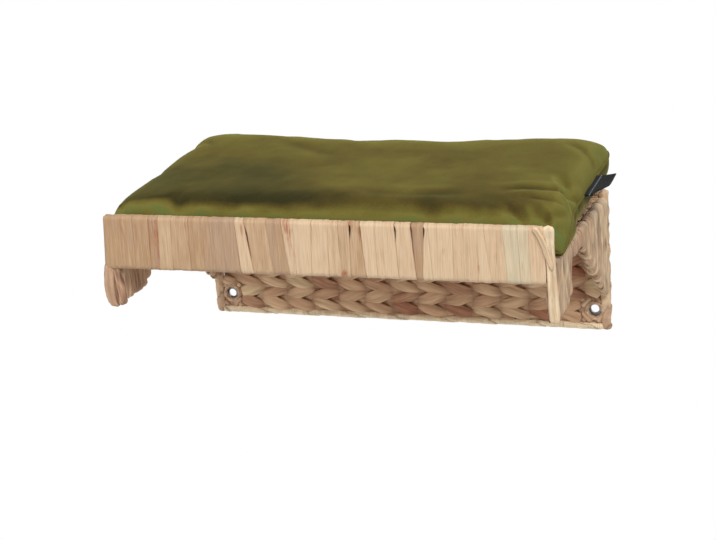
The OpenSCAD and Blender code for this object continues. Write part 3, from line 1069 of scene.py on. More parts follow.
@dataclass(frozen=True)
class Bundle:
    """Leaf laid down a front post: its form from the foot up, its folds and its tint.

    Back says how far it lies behind the post's middle, and its share of painted light is less where painted
    shade stands for the dark.
    """

    form: tuple[Girth, ...]
    folds: Ridges
    tint: float
    back: float = 0.0
    open_share: float = 1.0
    step: float = 2.4
    sides: int = 28

    def add_to(self, surface: Surface, y: float) -> None:
        """Adds the leaf to a surface.

        Args:
            surface: The mesh under construction.
            y: Depth of the post's middle.
        """
        low, high = self.form[0].level, self.form[-1].level
        count = round((high - low) / self.step)
        rings = []
        for k in range(count + 1):
            level = blend(low, high, k / count)
            part = max(n for n, girth in enumerate(self.form[:-1]) if girth.level <= level + 1e-6)
            here = self.form[part].toward(self.form[part + 1], level)
            mottled = self.tint + 0.1 * ripple(level / 26, self.folds.seed)
            rings.append(Ring(Vector((here.x, y + self.back, level)), ACROSS, DEPTH, here.half_w, here.half_t,
                              level, mottled, self.open_share))
        surface.tube(rings, self.sides, self.folds)


@dataclass
class Posts:
    """The wound posts: two against the wall and two that run down as front legs."""

    left_outer: Bundle = Bundle((
        Girth(19.8, -245.8, 3.6, 3.4), Girth(22.0, -247.8, 5.4, 5.0), Girth(27.0, -250.1, 6.3, 6.0),
        Girth(34.0, -251.4, 6.7, 6.6), Girth(44.0, -251.8, 7.0, 7.0), Girth(56.0, -250.8, 7.0, 7.2),
        Girth(66.0, -249.4, 6.8, 7.0), Girth(72.0, -248.4, 5.6, 5.2), Girth(119.0, -244.6, 5.2, 5.2)),
        Ridges(11.0, 0.35, 1.5, run=40, shade=0.22, parting=0.5), 0.4)
    left_inner: Bundle = Bundle((
        Girth(21.5, -240.6, 3.2, 3.6), Girth(26.0, -239.0, 4.4, 4.6), Girth(38.0, -239.2, 4.6, 5.2),
        Girth(60.0, -242.6, 5.4, 5.4), Girth(118.0, -243.6, 5.2, 4.8), Girth(123.5, -244.0, 5.0, 4.6),
        Girth(125.8, -244.0, 3.2, 3.0)),
        Ridges(37.0, 1.0, 2.2, run=16, shade=0.5, parting=0.7), 0.2, back=1.0)
    # A strand in the gap between the outer and inner leaf, darkened by painted shade to stand for the shade
    # of the gap.
    left_core: Bundle = Bundle((
        Girth(21.5, -243.6, 2.6, 2.6), Girth(26.0, -243.9, 3.8, 3.7), Girth(60.0, -244.0, 3.8, 3.7)),
        Ridges(53.0, 0.2, 2.0, run=12), 0.1, open_share=0.5)
    right_outer: Bundle = Bundle((
        Girth(24.0, 247.0, 3.6, 3.6), Girth(28.0, 246.8, 5.4, 5.4), Girth(50.0, 246.0, 5.4, 5.6),
        Girth(80.0, 245.0, 5.0, 5.4), Girth(104.0, 244.2, 5.2, 5.6), Girth(121.0, 243.6, 6.2, 5.8),
        Girth(126.5, 243.4, 4.4, 4.2)),
        Ridges(5.0, 0.45, run=40, shade=0.26), 0.9)
    knot_strand: tuple[Span, ...] = (
        (229.5, 125.0), (233.5, 121.0), (237.6, 113.5), (240.9, 105.6), (243.6, 96.0), (246.3, 87.2),
        (248.5, 78.0))
    knot_parts: int = 3
    knot_half: float = 3.0
    knot_t: float = 1.9
    knot_out: float = 0.6

    def build(self, finish: bpy.types.Material) -> None:
        """Builds the four posts.

        Args:
            finish: Material of the wound leaf.
        """
        for side in Side:
            self.rear(side, finish)
            self.front(side, finish)

    def rear(self, side: Side, finish: bpy.types.Material) -> None:
        """Builds a lumpy rear post.

        Args:
            side: The end of the platform.
            finish: Material of the wound leaf.
        """
        winding = Winding(f"{side.word}_rear_post_wrap")
        box = Extent.of(winding.node)
        start = Vector((box.mid.x, box.mid.y, box.low.z))
        end = Vector((box.mid.x, box.mid.y, box.high.z))
        WoundRod(start, end, box.size.y / 2 + 0.2, winding.node, turn=24.0, step=1.0, lump=1.6,
                 round_end=5.0).add_to(winding)
        winding.done(finish)

    def front(self, side: Side, finish: bpy.types.Material) -> None:
        """Builds a front post of long leaves laid down its length.

        Args:
            side: The end of the platform.
            finish: Material of the wound leaf.
        """
        winding = Winding(f"{side.word}_front_post_wrap")
        box = Extent.of(winding.node)
        if side is Side.LEFT:
            for bundle in (self.left_outer, self.left_inner, self.left_core):
                bundle.add_to(winding, box.mid.y)
        else:
            self.right_outer.add_to(winding, box.mid.y)
            self.knot(winding, box.low.y)
        winding.done(finish)

    def knot(self, surface: Surface, front: float) -> None:
        """Adds the thin strand that crosses from the apron's last leaf on to the right post.

        Args:
            surface: The mesh under construction.
            front: Depth of the post's front.
        """
        rings = []
        for k, ((x, level), (next_x, next_level)) in enumerate(zip(self.knot_strand, self.knot_strand[1:])):
            ahead = Vector((next_x - x, 0, next_level - level)).normalized()
            for part in range(self.knot_parts):
                share = part / self.knot_parts
                height = blend(level, next_level, share)
                place = Vector((blend(x, next_x, share), front + self.knot_out, height))
                half_w = self.knot_half + 0.6 * ripple(k + share, 3.0)
                rings.append(Ring(place, ahead.cross(DEPTH).normalized(), DEPTH, half_w, self.knot_t,
                                  4.0 * (k + share), 0.8))
        surface.tube(rings, 14, Ridges(71.0, height=0.3, count=1.8, run=14))


@dataclass(frozen=True)
class LoopKind:
    """How the loops of one part of a side are wound.

    Width is a strand's half width as a share of the way from loop to loop, thick is half of its
    thickness, and sway is how far it wanders from a straight line.
    """

    width: float
    tints: Span
    thick: float
    sway: float
    folds: Ridges


@dataclass
class SideWinding:
    """The loops of leaf wound over each deck side rod and under the wires below it."""

    half: float = 4.7
    leaf_t: float = 1.3
    corner_r: float = 22.0
    leg_loops: int = 7
    leg_lean: float = 5.0
    edge_loops: int = 5
    fan_loops: int = 9
    left_leg_tints: Span = (0.2, 0.6)
    fan_lean: float = 3.0
    fan_gather: float = 4.0
    fan_ragged: float = 3.0
    twist: float = 0.35
    waist: float = 0.16
    leg_kind: LoopKind = LoopKind(
        width=0.66, tints=(0.45, 0.85), thick=1.8, sway=2.0,
        folds=Ridges(0.0, 1.0, 2.4, run=17, shade=0.4, parting=0.7))
    edge_kind: LoopKind = LoopKind(
        width=0.62, tints=(0.3, 0.75), thick=1.8, sway=0.8,
        folds=Ridges(0.0, 0.8, 2.2, run=14, shade=0.4, parting=0.45))
    fan_kind: LoopKind = LoopKind(
        width=0.6, tints=(0.35, 0.85), thick=2.4, sway=2.6,
        folds=Ridges(0.0, 1.1, 2.4, run=20, shade=0.4, parting=0.5))

    def build(self, finish: bpy.types.Material) -> None:
        """Builds the leg, the edge and the fan of each side.

        Args:
            finish: Material of the wound leaf.
        """
        for side in Side:
            edge, leg, fan = (Extent.of(f"{side.word}_{part}_wrap") for part in ("edge", "leg", "fan"))
            self.leg(side, edge, leg).done(finish)
            self.edge(side, edge, leg.high.y, fan.low.y).done(finish)
            self.fan(side, edge, fan).done(finish)

    def leg(self, side: Side, edge: Extent, leg: Extent) -> Winding:
        """Winds the loops behind a front post, down to the foot.

        Args:
            side: The end of the platform.
            edge: Box of the side's edge winding.
            leg: Box of the side's leg winding.

        Returns:
            The winding.
        """
        pitch = leg.size.y / self.leg_loops
        spans = []
        for k in range(self.leg_loops):
            y = leg.low.y + (k + 0.5) * pitch
            past = max(0.0, y - (leg.high.y - self.corner_r))
            low = leg.low.z + self.corner_r - math.sqrt(max(0.0, self.corner_r ** 2 - past ** 2))
            spans.append(((y, y - self.leg_lean * k / (self.leg_loops - 1)), low))
        kind = replace(self.leg_kind, tints=self.left_leg_tints) if side is Side.LEFT else self.leg_kind
        return self.wind("leg", side, edge, kind, pitch, spans)

    def edge(self, side: Side, edge: Extent, start: float, end: float) -> Winding:
        """Winds the short loops between the leg and the fan.

        Args:
            side: The end of the platform.
            edge: Box of the side's edge winding.
            start: Depth where the loops start.
            end: Depth where they end.

        Returns:
            The winding.
        """
        pitch = (end - start) / self.edge_loops
        middles = [start + (k + 0.5) * pitch for k in range(self.edge_loops)]
        return self.wind("edge", side, edge, self.edge_kind, pitch, [((y, y), edge.low.z) for y in middles])

    def fan(self, side: Side, edge: Extent, fan: Extent) -> Winding:
        """Winds the loops that reach down to the brace, longest beside the rear post, and the brace.

        Args:
            side: The end of the platform.
            edge: Box of the side's edge winding.
            fan: Box of the side's fan winding.

        Returns:
            The winding.
        """
        reach = fan.size.y
        pitch = reach / self.fan_loops
        spans = []
        for k in range(self.fan_loops):
            middle = fan.low.y + (k + 0.5) * pitch
            low_y = min(middle + self.fan_lean, fan.high.y - pitch / 2)
            low = blend(fan.high.z, fan.low.z, (low_y - fan.low.y) / reach)
            low += self.fan_ragged * ripple(k * 1.7, side.value * 4.0)
            top_y = middle - self.fan_lean + self.fan_gather * k / (self.fan_loops - 1)
            spans.append(((top_y, low_y), low))
        winding = self.wind("fan", side, edge, self.fan_kind, pitch, spans)
        start = Vector((edge.mid.x, fan.low.y, fan.high.z + self.half))
        end = Vector((edge.mid.x, fan.high.y, fan.low.z + self.half))
        WoundRod(start, end, self.half + 0.3, f"brace {side.word}", turn=9.0, lump=0.8).add_to(winding)
        return winding

    def wind(self, part: str, side: Side, edge: Extent, kind: LoopKind, pitch: float,
             spans: Sequence[tuple[Span, float]]) -> Winding:
        """Winds the loops of one part of a side.

        Args:
            part: The part's name.
            side: The end of the platform.
            edge: Box of the deck's edge, where the loops start.
            kind: How they are wound.
            pitch: The way from loop to loop.
            spans: Depth of each loop at its top and at its foot, and its lowest level.

        Returns:
            The mesh under construction.
        """
        winding = Winding(f"{side.word}_{part}_wrap")
        for k, (y_span, low) in enumerate(spans):
            rings, folds = self.loop(f"{part} {side.word} {k}", edge, y_span, low, kind, pitch)
            winding.tube(rings, 16, folds, closed=True)
        return winding

    def loop(self, seed: str, edge: Extent, y_span: Span, low: float, kind: LoopKind,
             pitch: float) -> tuple[list[Ring], Ridges]:
        """Lays out one loop.

        Args:
            seed: Names the loop's own random choices.
            edge: Box of the deck's edge.
            y_span: Depth of the loop at its top and at its foot.
            low: Its lowest level.
            kind: How it is wound.
            pitch: The way to the next loop.

        Returns:
            Its cross-sections, with the first repeated at the end, and its folds.
        """
        chance = random.Random(seed)
        shift = chance.uniform(0, 100)
        tint = chance.uniform(*kind.tints)
        bow = chance.uniform(-kind.sway, kind.sway)
        top = edge.high.z
        half = self.half + self.leaf_t - kind.thick
        low = min(low, top - 2 * half - 3)
        rings = []
        for station in loop_stations(top - kind.thick, low + kind.thick, half, 2.4):
            level = station.level
            share = (top - level) / (top - low)
            face = 1 if station.offset > 0 else -1
            wander = bow * math.sin(math.pi * share) + kind.sway * ripple(shift, level / 22, face * 3.0)
            wander *= ease(0, 0.12, share) * ease(0, 0.12, 1 - share) * 0.8 + 0.2
            centre = Vector((edge.mid.x + station.offset, blend(*y_span, share ** 1.3) + wander, level))
            out = Vector((station.out, 0, station.up))
            twist = self.twist * ripple(shift + 7, level / 26, face * 5.0)
            wide = (DEPTH * math.cos(twist) + out * math.sin(twist)).normalized()
            half_w = pitch * kind.width * (1 - self.waist * ripple(shift + 3, level / 15, face * 2.0))
            rings.append(Ring(centre, wide, out, half_w, kind.thick, station.along, tint,
                              0.9 + 0.12 * ripple(shift, level / 12, 1.0)))
        rings[-1] = replace(rings[0], along=rings[-1].along)
        return rings, replace(kind.folds, seed=shift)


@dataclass(frozen=True)
class Hole:
    """Place of the upper right screw hole, and the radius of the opening in the leaf round it."""

    x: float
    level: float
    radius: float

    @classmethod
    def from_record(cls, lip: float = 2.2) -> "Hole":
        """Reads the hole from the record's mount; the leaf stands back from its rim by the lip."""
        dims = frame["record"]["mounts"][0]["dims"]
        return cls(dims["spacing_x_mm"] / 2, dims["spacing_y_mm"] / 2, dims["hole_r_mm"] + lip)


@dataclass
class Eyelets:
    """The patches of slanting leaf round the four screw holes."""

    ring_t: float = 2.4
    ring_half: float = 3.2
    ring_steps: int = 44
    ring_out: float = 1.2
    backing_t: float = 2.0
    backing_in: float = 0.6
    backing_gap: float = 1.4
    outer_over: float = 1.2
    inner_over: float = 4.5
    strand_w: float = 3.4
    strand_t: float = 4.0
    strand_gap: float = 5.2
    strand_step: float = 1.5
    corner_strands: int = 3
    shifts: dict[tuple[Side, bool], Span] = field(
        default_factory=lambda: {(Side.LEFT, False): (2.6, 1.8), (Side.RIGHT, False): (1.2, -0.4)})

    def __post_init__(self) -> None:
        """Reads the screw hole and the patches' box."""
        self.hole = Hole.from_record()
        self.box = Extent.of("eyelet_wraps")
        self.half = self.box.high.z - self.hole.level
        self.outer = self.box.high.x - self.hole.x

    def build(self, finish: bpy.types.Material) -> None:
        """Builds the four patches as one piece.

        Args:
            finish: Material of the wound leaf.
        """
        winding = Winding("eyelet_wraps")
        for side in Side:
            for level in (-self.hole.level, self.hole.level):
                self.patch(winding, side, Vector((side.value * self.hole.x, self.box.mid.y, level)))
        winding.done(finish)

    def patch(self, surface: Surface, side: Side, centre: Vector) -> None:
        """Adds a rolled ring round one hole, a backing, and strands across its corners.

        Args:
            surface: The mesh under construction.
            side: The end of the platform.
            centre: Middle of the hole, in the middle of the panel.
        """
        chance = random.Random(f"eyelet {side.word} {centre.z:.0f}")
        shift = chance.uniform(0, 90)
        hole_r = self.hole.radius
        aside, above = self.shifts.get((side, centre.z > 0), (0.0, 0.0))
        opening = centre + Vector((aside, 0, above))
        rings = []
        backing = []
        for k in range(self.ring_steps + 1):
            angle = TURN * k / self.ring_steps
            across, up = math.cos(angle), math.sin(angle)
            out = Vector((across, 0, up))
            lump = ripple(shift + 2 * across, 2 * up)
            radius = hole_r + self.ring_t + 0.7 * lump
            # Painted light on the ring's lumps.
            rings.append(Ring(opening + out * radius - DEPTH * self.ring_out, out, DEPTH,
                              self.ring_t * (1 + 0.25 * lump), self.ring_half * (1 + 0.1 * lump),
                              radius * angle, 0.5 + 0.3 * lump, 0.95 + 0.2 * lump))
            outwards = out.x * side.value > 0
            side_room = self.outer + self.outer_over if outwards else self.half + self.inner_over
            edge = min(side_room / max(abs(across), 1e-6), (self.half + self.outer_over) / max(abs(up), 1e-6))
            near = opening + out * (hole_r + self.backing_gap)
            far = centre + out * edge
            # Painted shade on the backing, which lies back behind the ring.
            backing.append(Ring((near + far) / 2 + DEPTH * self.backing_in, (far - near).normalized(), DEPTH,
                                (far - near).length / 2, self.backing_t, 12 * angle, 0.4, 0.8))
        surface.tube(rings, 16, Ridges(shift, height=0.5, count=2.2, run=4), closed=True)
        surface.tube(backing, 12, Ridges(shift + 9, height=0.2, count=2.0, run=5), closed=True)
        for corner_x in (-1, 1):
            for corner_z in (-1, 1):
                for k in range(self.corner_strands):
                    reach = hole_r + 2 * self.ring_t - 0.5 + (k + 0.2) * self.strand_gap
                    self.corner_strand(surface, centre, (corner_x * side.value, corner_z), reach,
                                       self.outer if corner_x > 0 else self.half, chance)

    def corner_strand(self, surface: Surface, centre: Vector, corner: tuple[int, int], reach: float,
                      side_room: float, chance: random.Random) -> None:
        """Adds a strand square to the diagonal of a corner, where it fits the patch.

        Args:
            surface: The mesh under construction.
            centre: Middle of the hole.
            corner: Signs of the corner's way from the hole, across and up.
            reach: The strand's distance from the hole.
            side_room: The patch's reach from the hole across.
            chance: The patch's random choices.
        """
        toward = Vector((corner[0], 0, corner[1])).normalized()
        lie = Vector((-corner[0], 0, corner[1])).normalized()
        diagonal = math.sqrt(2)
        upper = (self.half - reach / diagonal) * diagonal
        outer = (side_room - reach / diagonal) * diagonal
        if min(upper, outer) < 1.0 and upper + outer < 4.0:
            return
        middle = centre + toward * reach
        start = middle - lie * max(0.5, outer)
        end = middle + lie * max(0.5, upper)
        length = (end - start).length
        count = max(6, round(length / self.strand_step))
        tint = chance.uniform(0.2, 0.8)
        rings = []
        for k in range(count + 1):
            share = k / count
            bulge = math.sqrt(max(0.05, 1 - (2 * share - 1) ** 6))
            place = start.lerp(end, share) + toward * 0.5 * ripple(share * 3, tint * 40)
            # Painted shade towards the strand's thin ends.
            rings.append(Ring(place, toward, DEPTH, self.strand_w * bulge, self.strand_t * bulge,
                              share * length, tint, 0.8 + 0.2 * bulge))
        surface.tube(rings, 12, Ridges(tint * 50, height=0.45, run=12))


@dataclass(frozen=True)
class Leaf:
    """One leaf of the apron: its edges at the top and at the foot as shares of the width, and its tint.

    The seam says how deep its left edge lies under its neighbour, the wedge how wide the seam gapes near
    the top, and the slit how long that gap is.
    """

    top: Span
    low: Span
    tint: float
    wedge: float = 0.0
    seam: float = 0.2
    slit: float = 1.0


@dataclass(frozen=True)
class Stain:
    """A red-brown mark on the apron: its top and foot as places across and levels, and its half width."""

    top: Span
    low: Span
    half_w: float
    share: float = 1.0
    spot_size: float = 2.0

    def at(self, x: float, level: float) -> float:
        """How strongly the mark colours a place.

        Args:
            x: The place across the apron.
            level: Its level.

        Returns:
            The strength, from 0 to 1.
        """
        along, gap = beside((x, level), self.top, self.low)
        ragged = self.half_w * (1 + 0.7 * ripple(x / 3, level / 7, 2.0))
        faded = 1.0
        if math.dist(self.top, self.low) >= self.spot_size:
            faded -= 0.8 * ease(0.45, 1.0, along + 0.5 * ripple(x / 2, level / 20))
        return self.share * faded * (1 - ease(0.2 * ragged, 1.6 * ragged, gap))


@dataclass
class Apron:
    """The band of flat leaf loops round the two front rails, strip by strip."""

    leaf_t: float = 1.3
    overlap: float = 0.2
    wave: float = 0.4
    edge_roll: float = 0.75
    edge_w: float = 1.5
    wedge_depth: float = 20.0
    fold: float = 0.3
    fold_half: float = 1.3
    lap: float = 18.0
    lap_flat: float = 6.4
    lap_lean: float = 0.07
    lap_r: float = 6.3
    lap_rise: float = 2.2
    right_lap: float = 3.0
    column_w: float = 1.25
    strips: tuple[tuple[Leaf, ...], ...] = (
        (Leaf((0.000, 0.050), (0.011, 0.046), 0.36),),
        (Leaf((0.050, 0.090), (0.046, 0.085), 0.36), Leaf((0.090, 0.113), (0.085, 0.108), 0.3, seam=0.35)),
        (Leaf((0.113, 0.146), (0.108, 0.142), 0.46), Leaf((0.146, 0.188), (0.142, 0.186), 0.42, seam=0.15)),
        (Leaf((0.188, 0.221), (0.186, 0.221), 0.36, seam=0.3),
         Leaf((0.221, 0.247), (0.221, 0.251), 0.28, seam=0.1)),
        (Leaf((0.247, 0.302), (0.251, 0.309), 0.22, seam=0.1),),
        (Leaf((0.302, 0.324), (0.309, 0.341), 0.62, seam=0.7),),
        (Leaf((0.324, 0.378), (0.341, 0.389), 0.44, 1.4, 0.9, 2.3),
         Leaf((0.378, 0.413), (0.389, 0.428), 0.28, seam=0.15)),
        (Leaf((0.413, 0.443), (0.428, 0.443), 0.62, seam=0.3),),
        (Leaf((0.443, 0.486), (0.443, 0.479), 0.64, seam=0.2),),
        (Leaf((0.486, 0.525), (0.479, 0.519), 0.62, 0.5, 0.6),),
        (Leaf((0.525, 0.547), (0.519, 0.550), 0.56, seam=0.2),
         Leaf((0.547, 0.574), (0.550, 0.571), 0.5, seam=0.25)),
        (Leaf((0.574, 0.597), (0.571, 0.607), 0.42, 2.2, 0.8),),
        (Leaf((0.597, 0.633), (0.607, 0.633), 0.66, 0.8, 0.8),
         Leaf((0.633, 0.676), (0.633, 0.682), 0.62, seam=0.1)),
        (Leaf((0.676, 0.713), (0.682, 0.721), 0.58, 1.6, 1.0),),
        (Leaf((0.713, 0.743), (0.721, 0.736), 0.3, 0.9, 0.9),
         Leaf((0.743, 0.752), (0.736, 0.759), 0.7, 2.0, 0.4)),
        (Leaf((0.752, 0.807), (0.759, 0.805), 0.62, seam=0.35),
         Leaf((0.807, 0.831), (0.805, 0.829), 0.58, seam=0.1),
         Leaf((0.831, 0.862), (0.829, 0.859), 0.6, seam=0.1)),
        (Leaf((0.862, 0.874), (0.859, 0.889), 0.66, seam=0.25),
         Leaf((0.874, 0.915), (0.885, 0.924), 0.56, seam=0.3)),
        (Leaf((0.915, 0.947), (0.924, 0.953), 1.0, seam=0.25),
         Leaf((0.947, 0.971), (0.953, 0.974), 0.94, seam=0.15),
         Leaf((0.971, 1.000), (0.974, 1.000), 0.6, seam=0.2)),
    )
    stains: tuple[Stain, ...] = (
        Stain((-194.7, 122.0), (-197.2, 66.0), 0.9, 0.5),
        Stain((-185.8, 121.0), (-187.9, 66.0), 1.5, 0.75),
        Stain((-190.4, 118.0), (-192.0, 70.0), 3.4, 0.3),
        Stain((-186.2, 108.0), (-186.6, 100.0), 2.4, 0.5),
        Stain((-151.5, 119.0), (-150.0, 100.0), 0.8, 0.6),
        Stain((-150.0, 100.0), (-147.4, 78.0), 0.6, 0.4),
        Stain((-229.5, 122.0), (-224.5, 92.0), 1.0, 0.4),
        Stain((-211.0, 116.0), (-209.0, 88.0), 1.2, 0.35),
        Stain((-86.5, 118.0), (-84.5, 108.0), 1.6, 0.6),
        Stain((-80.8, 112.0), (-77.0, 84.0), 1.4, 0.6),
        Stain((-35.1, 123.8), (-33.0, 106.0), 4.4, 0.75),
        Stain((-33.0, 106.0), (-29.6, 88.0), 2.6, 0.6),
        Stain((35.8, 124.0), (38.5, 119.0), 4.2, 0.4),
        Stain((27.3, 69.8), (27.3, 69.6), 3.7, 1.1),
        Stain((-227.2, 122.1), (-227.0, 121.9), 1.8, 0.4),
        Stain((46.0, 120.0), (47.5, 100.0), 1.0, 0.6),
        Stain((102.0, 122.0), (105.0, 78.0), 0.8, 0.5),
        Stain((171.8, 84.0), (171.8, 76.0), 0.8, 0.5),
        Stain((228.0, 125.0), (229.5, 119.0), 1.5, 0.5),
    )

    def build(self, finish: bpy.types.Material) -> None:
        """Builds one piece for each strip.

        Args:
            finish: Material of the flat leaf.
        """
        nodes = [f"apron_strip_{k:02}" for k in range(1, len(self.strips) + 1)]
        boxes = [Extent.of(node) for node in nodes]
        ends = (min(box.low.x for box in boxes), max(box.high.x for box in boxes))
        for number, (leaves, node, box) in enumerate(zip(self.strips, nodes, boxes), 1):
            surface = Surface(node.replace("strip", "leaf"))
            for place, leaf in enumerate(leaves):
                self.leaf(surface, leaf, box, ends, f"apron {number} {place}")
            made = surface.piece(finish, "leaf_strip", Body.PLATFORM, (node,), outward=False)
            thicken(made, self.leaf_t)

    def hug(self, x: float, left: float, drop: float) -> Span:
        """Bends the part of the first leaf that laps round the left post.

        Args:
            x: Place across the flat leaf.
            left: The apron's left end.
            drop: How far below the apron's top the place lies.

        Returns:
            The place across the frame, and how far the leaf stands forward there.
        """
        past = left - x
        flat = self.lap_flat + self.lap_lean * drop
        forward = self.lap_rise * ease(0.0, 5.0, past)
        if past <= flat:
            return x, forward
        angle = (past - flat) / self.lap_r
        return left - flat - self.lap_r * math.sin(angle), forward - self.lap_r * (1 - math.cos(angle))

    def edges(self, leaf: Leaf, box: Extent, ends: Span, station: Station) -> Span:
        """Finds the left and right edge of a leaf at a station of its loop.

        Args:
            leaf: The leaf.
            box: Box of its strip.
            ends: Left and right end of the apron.
            station: The station.

        Returns:
            Places of the two edges across the frame.
        """
        down = box.high.z - station.level
        found = []
        for foot, top, side in zip(leaf.low, leaf.top, (-1, 1)):
            share = blend(foot, top, (station.level - box.low.z) / box.size.z)
            wobble = 0.35 * ripple(share * 900, station.level / 9) * (0.3 if share in (0.0, 1.0) else 1.0)
            found.append(blend(*ends, share) + wobble + side * self.overlap)
        low, high = found
        facing = ease(0.25, 1.0, -station.out)
        if leaf.wedge and station.out < 0:
            gape = down / (self.wedge_depth * leaf.slit)
            low += leaf.wedge * ease(0.1, 0.3, gape) * (1 - ease(0.3, 1.2, gape))
        if leaf.top[0] == 0.0:
            low = blend(low, ends[0] - self.lap - self.lap_lean * down, facing)
        if leaf.top[1] == 1.0:
            high += self.right_lap * facing
        return low, high

    def leaf(self, surface: Surface, leaf: Leaf, box: Extent, ends: Span, seed: str) -> None:
        """Adds one leaf, a loop over the upper rail and under the lower one.

        Args:
            surface: The mesh under construction.
            leaf: Its edges and tint.
            box: Box of its strip.
            ends: Left and right end of the apron.
            seed: Names its own random choices.
        """
        chance = random.Random(seed)
        shift = chance.uniform(0, 100)
        lay = chance.uniform(-0.2, 0.2)
        crease = chance.uniform(0.25, 0.75)
        half = box.size.y / 2
        stations = loop_stations(box.high.z, box.low.z, half, 2.0, 10)
        last = len(stations) - 1
        low, high = self.edges(leaf, box, ends, stations[0])
        width = high - low
        columns = max(6, round(width / self.column_w))

        def spot(i: int, j: int) -> Spot:
            """A point i across the leaf and j along its loop.

            Args:
                i: Place across the leaf.
                j: Place along the loop.

            Returns:
                The point.
            """
            around = stations[j % last]
            low, high = self.edges(leaf, box, ends, around)
            share = i / columns
            flat_x = blend(low, high, share)
            left_roll = leaf.seam * (1 - ease(0.0, self.edge_w, flat_x - low))
            right_roll = 0.12 * (1 - ease(0.0, self.edge_w, high - flat_x))
            wave = self.wave * ripple(flat_x / 8 + shift, around.level / 34, around.offset / half)
            beside_fold = (share - crease - 0.06 * ripple(around.level / 20, shift)) * width / self.fold_half
            fold = self.fold * math.exp(-beside_fold ** 2)
            x, forward = self.hug(flat_x, ends[0], box.high.z - around.level)
            out = lay + wave - self.edge_roll * (left_roll + right_roll) - fold + forward
            place = Vector((x, box.mid.y + around.offset + around.out * out, around.level + around.up * out))
            # Painted shade in the rolled seams and in the fold.
            hollow = 1 - 0.62 * left_roll ** 1.5 - 0.2 * right_roll - 0.25 * fold
            # Painted shade on the top of the loop, which the cushion overhangs.
            hollow -= 0.26 * ease(0.2, 0.9, around.up)
            stain = max(mark.at(flat_x, around.level) for mark in self.stains) if around.out < 0 else 0.0
            return Spot(place, flat_x, stations[j].along, leaf.tint + 0.04 * wave, hollow, stain)

        surface.sheet(columns, last, spot, closed_along=True)


def thicken(made: bpy.types.Object, thickness: float) -> None:
    """Gives a sheet its thickness, inwards from its outer face.

    Args:
        made: The piece.
        thickness: Its thickness in millimetres.
    """
    wall = made.modifiers.new("wall", "SOLIDIFY")
    wall.thickness = thickness * MM
    wall.offset = -1.0
    wall.use_even_offset = True
    wall.use_rim = True


@dataclass(frozen=True)
class Crease:
    """A fold pressed into the cushion's top: its line in plan, its depth and its half width."""

    line: tuple[Span, ...]
    depth: float
    half_w: float

    def drop(self, x: float, y: float) -> float:
        """How far the crease lowers a place of the top, with a soft ridge beside it.

        Args:
            x: The place across the pad.
            y: Its depth.

        Returns:
            The fall, in millimetres.
        """
        spans = [beside((x, y), start, end) for start, end in zip(self.line, self.line[1:])]
        part, (share, gap) = min(enumerate(spans), key=lambda found: found[1][1])
        along = (part + share) / len(spans)
        fade = ease(-0.05, 0.2, along) * (1 - ease(0.75, 1.05, along))
        near = gap / self.half_w
        return self.depth * fade * (math.exp(-near * near) - 0.45 * math.exp(-(near - 2.1) ** 2))


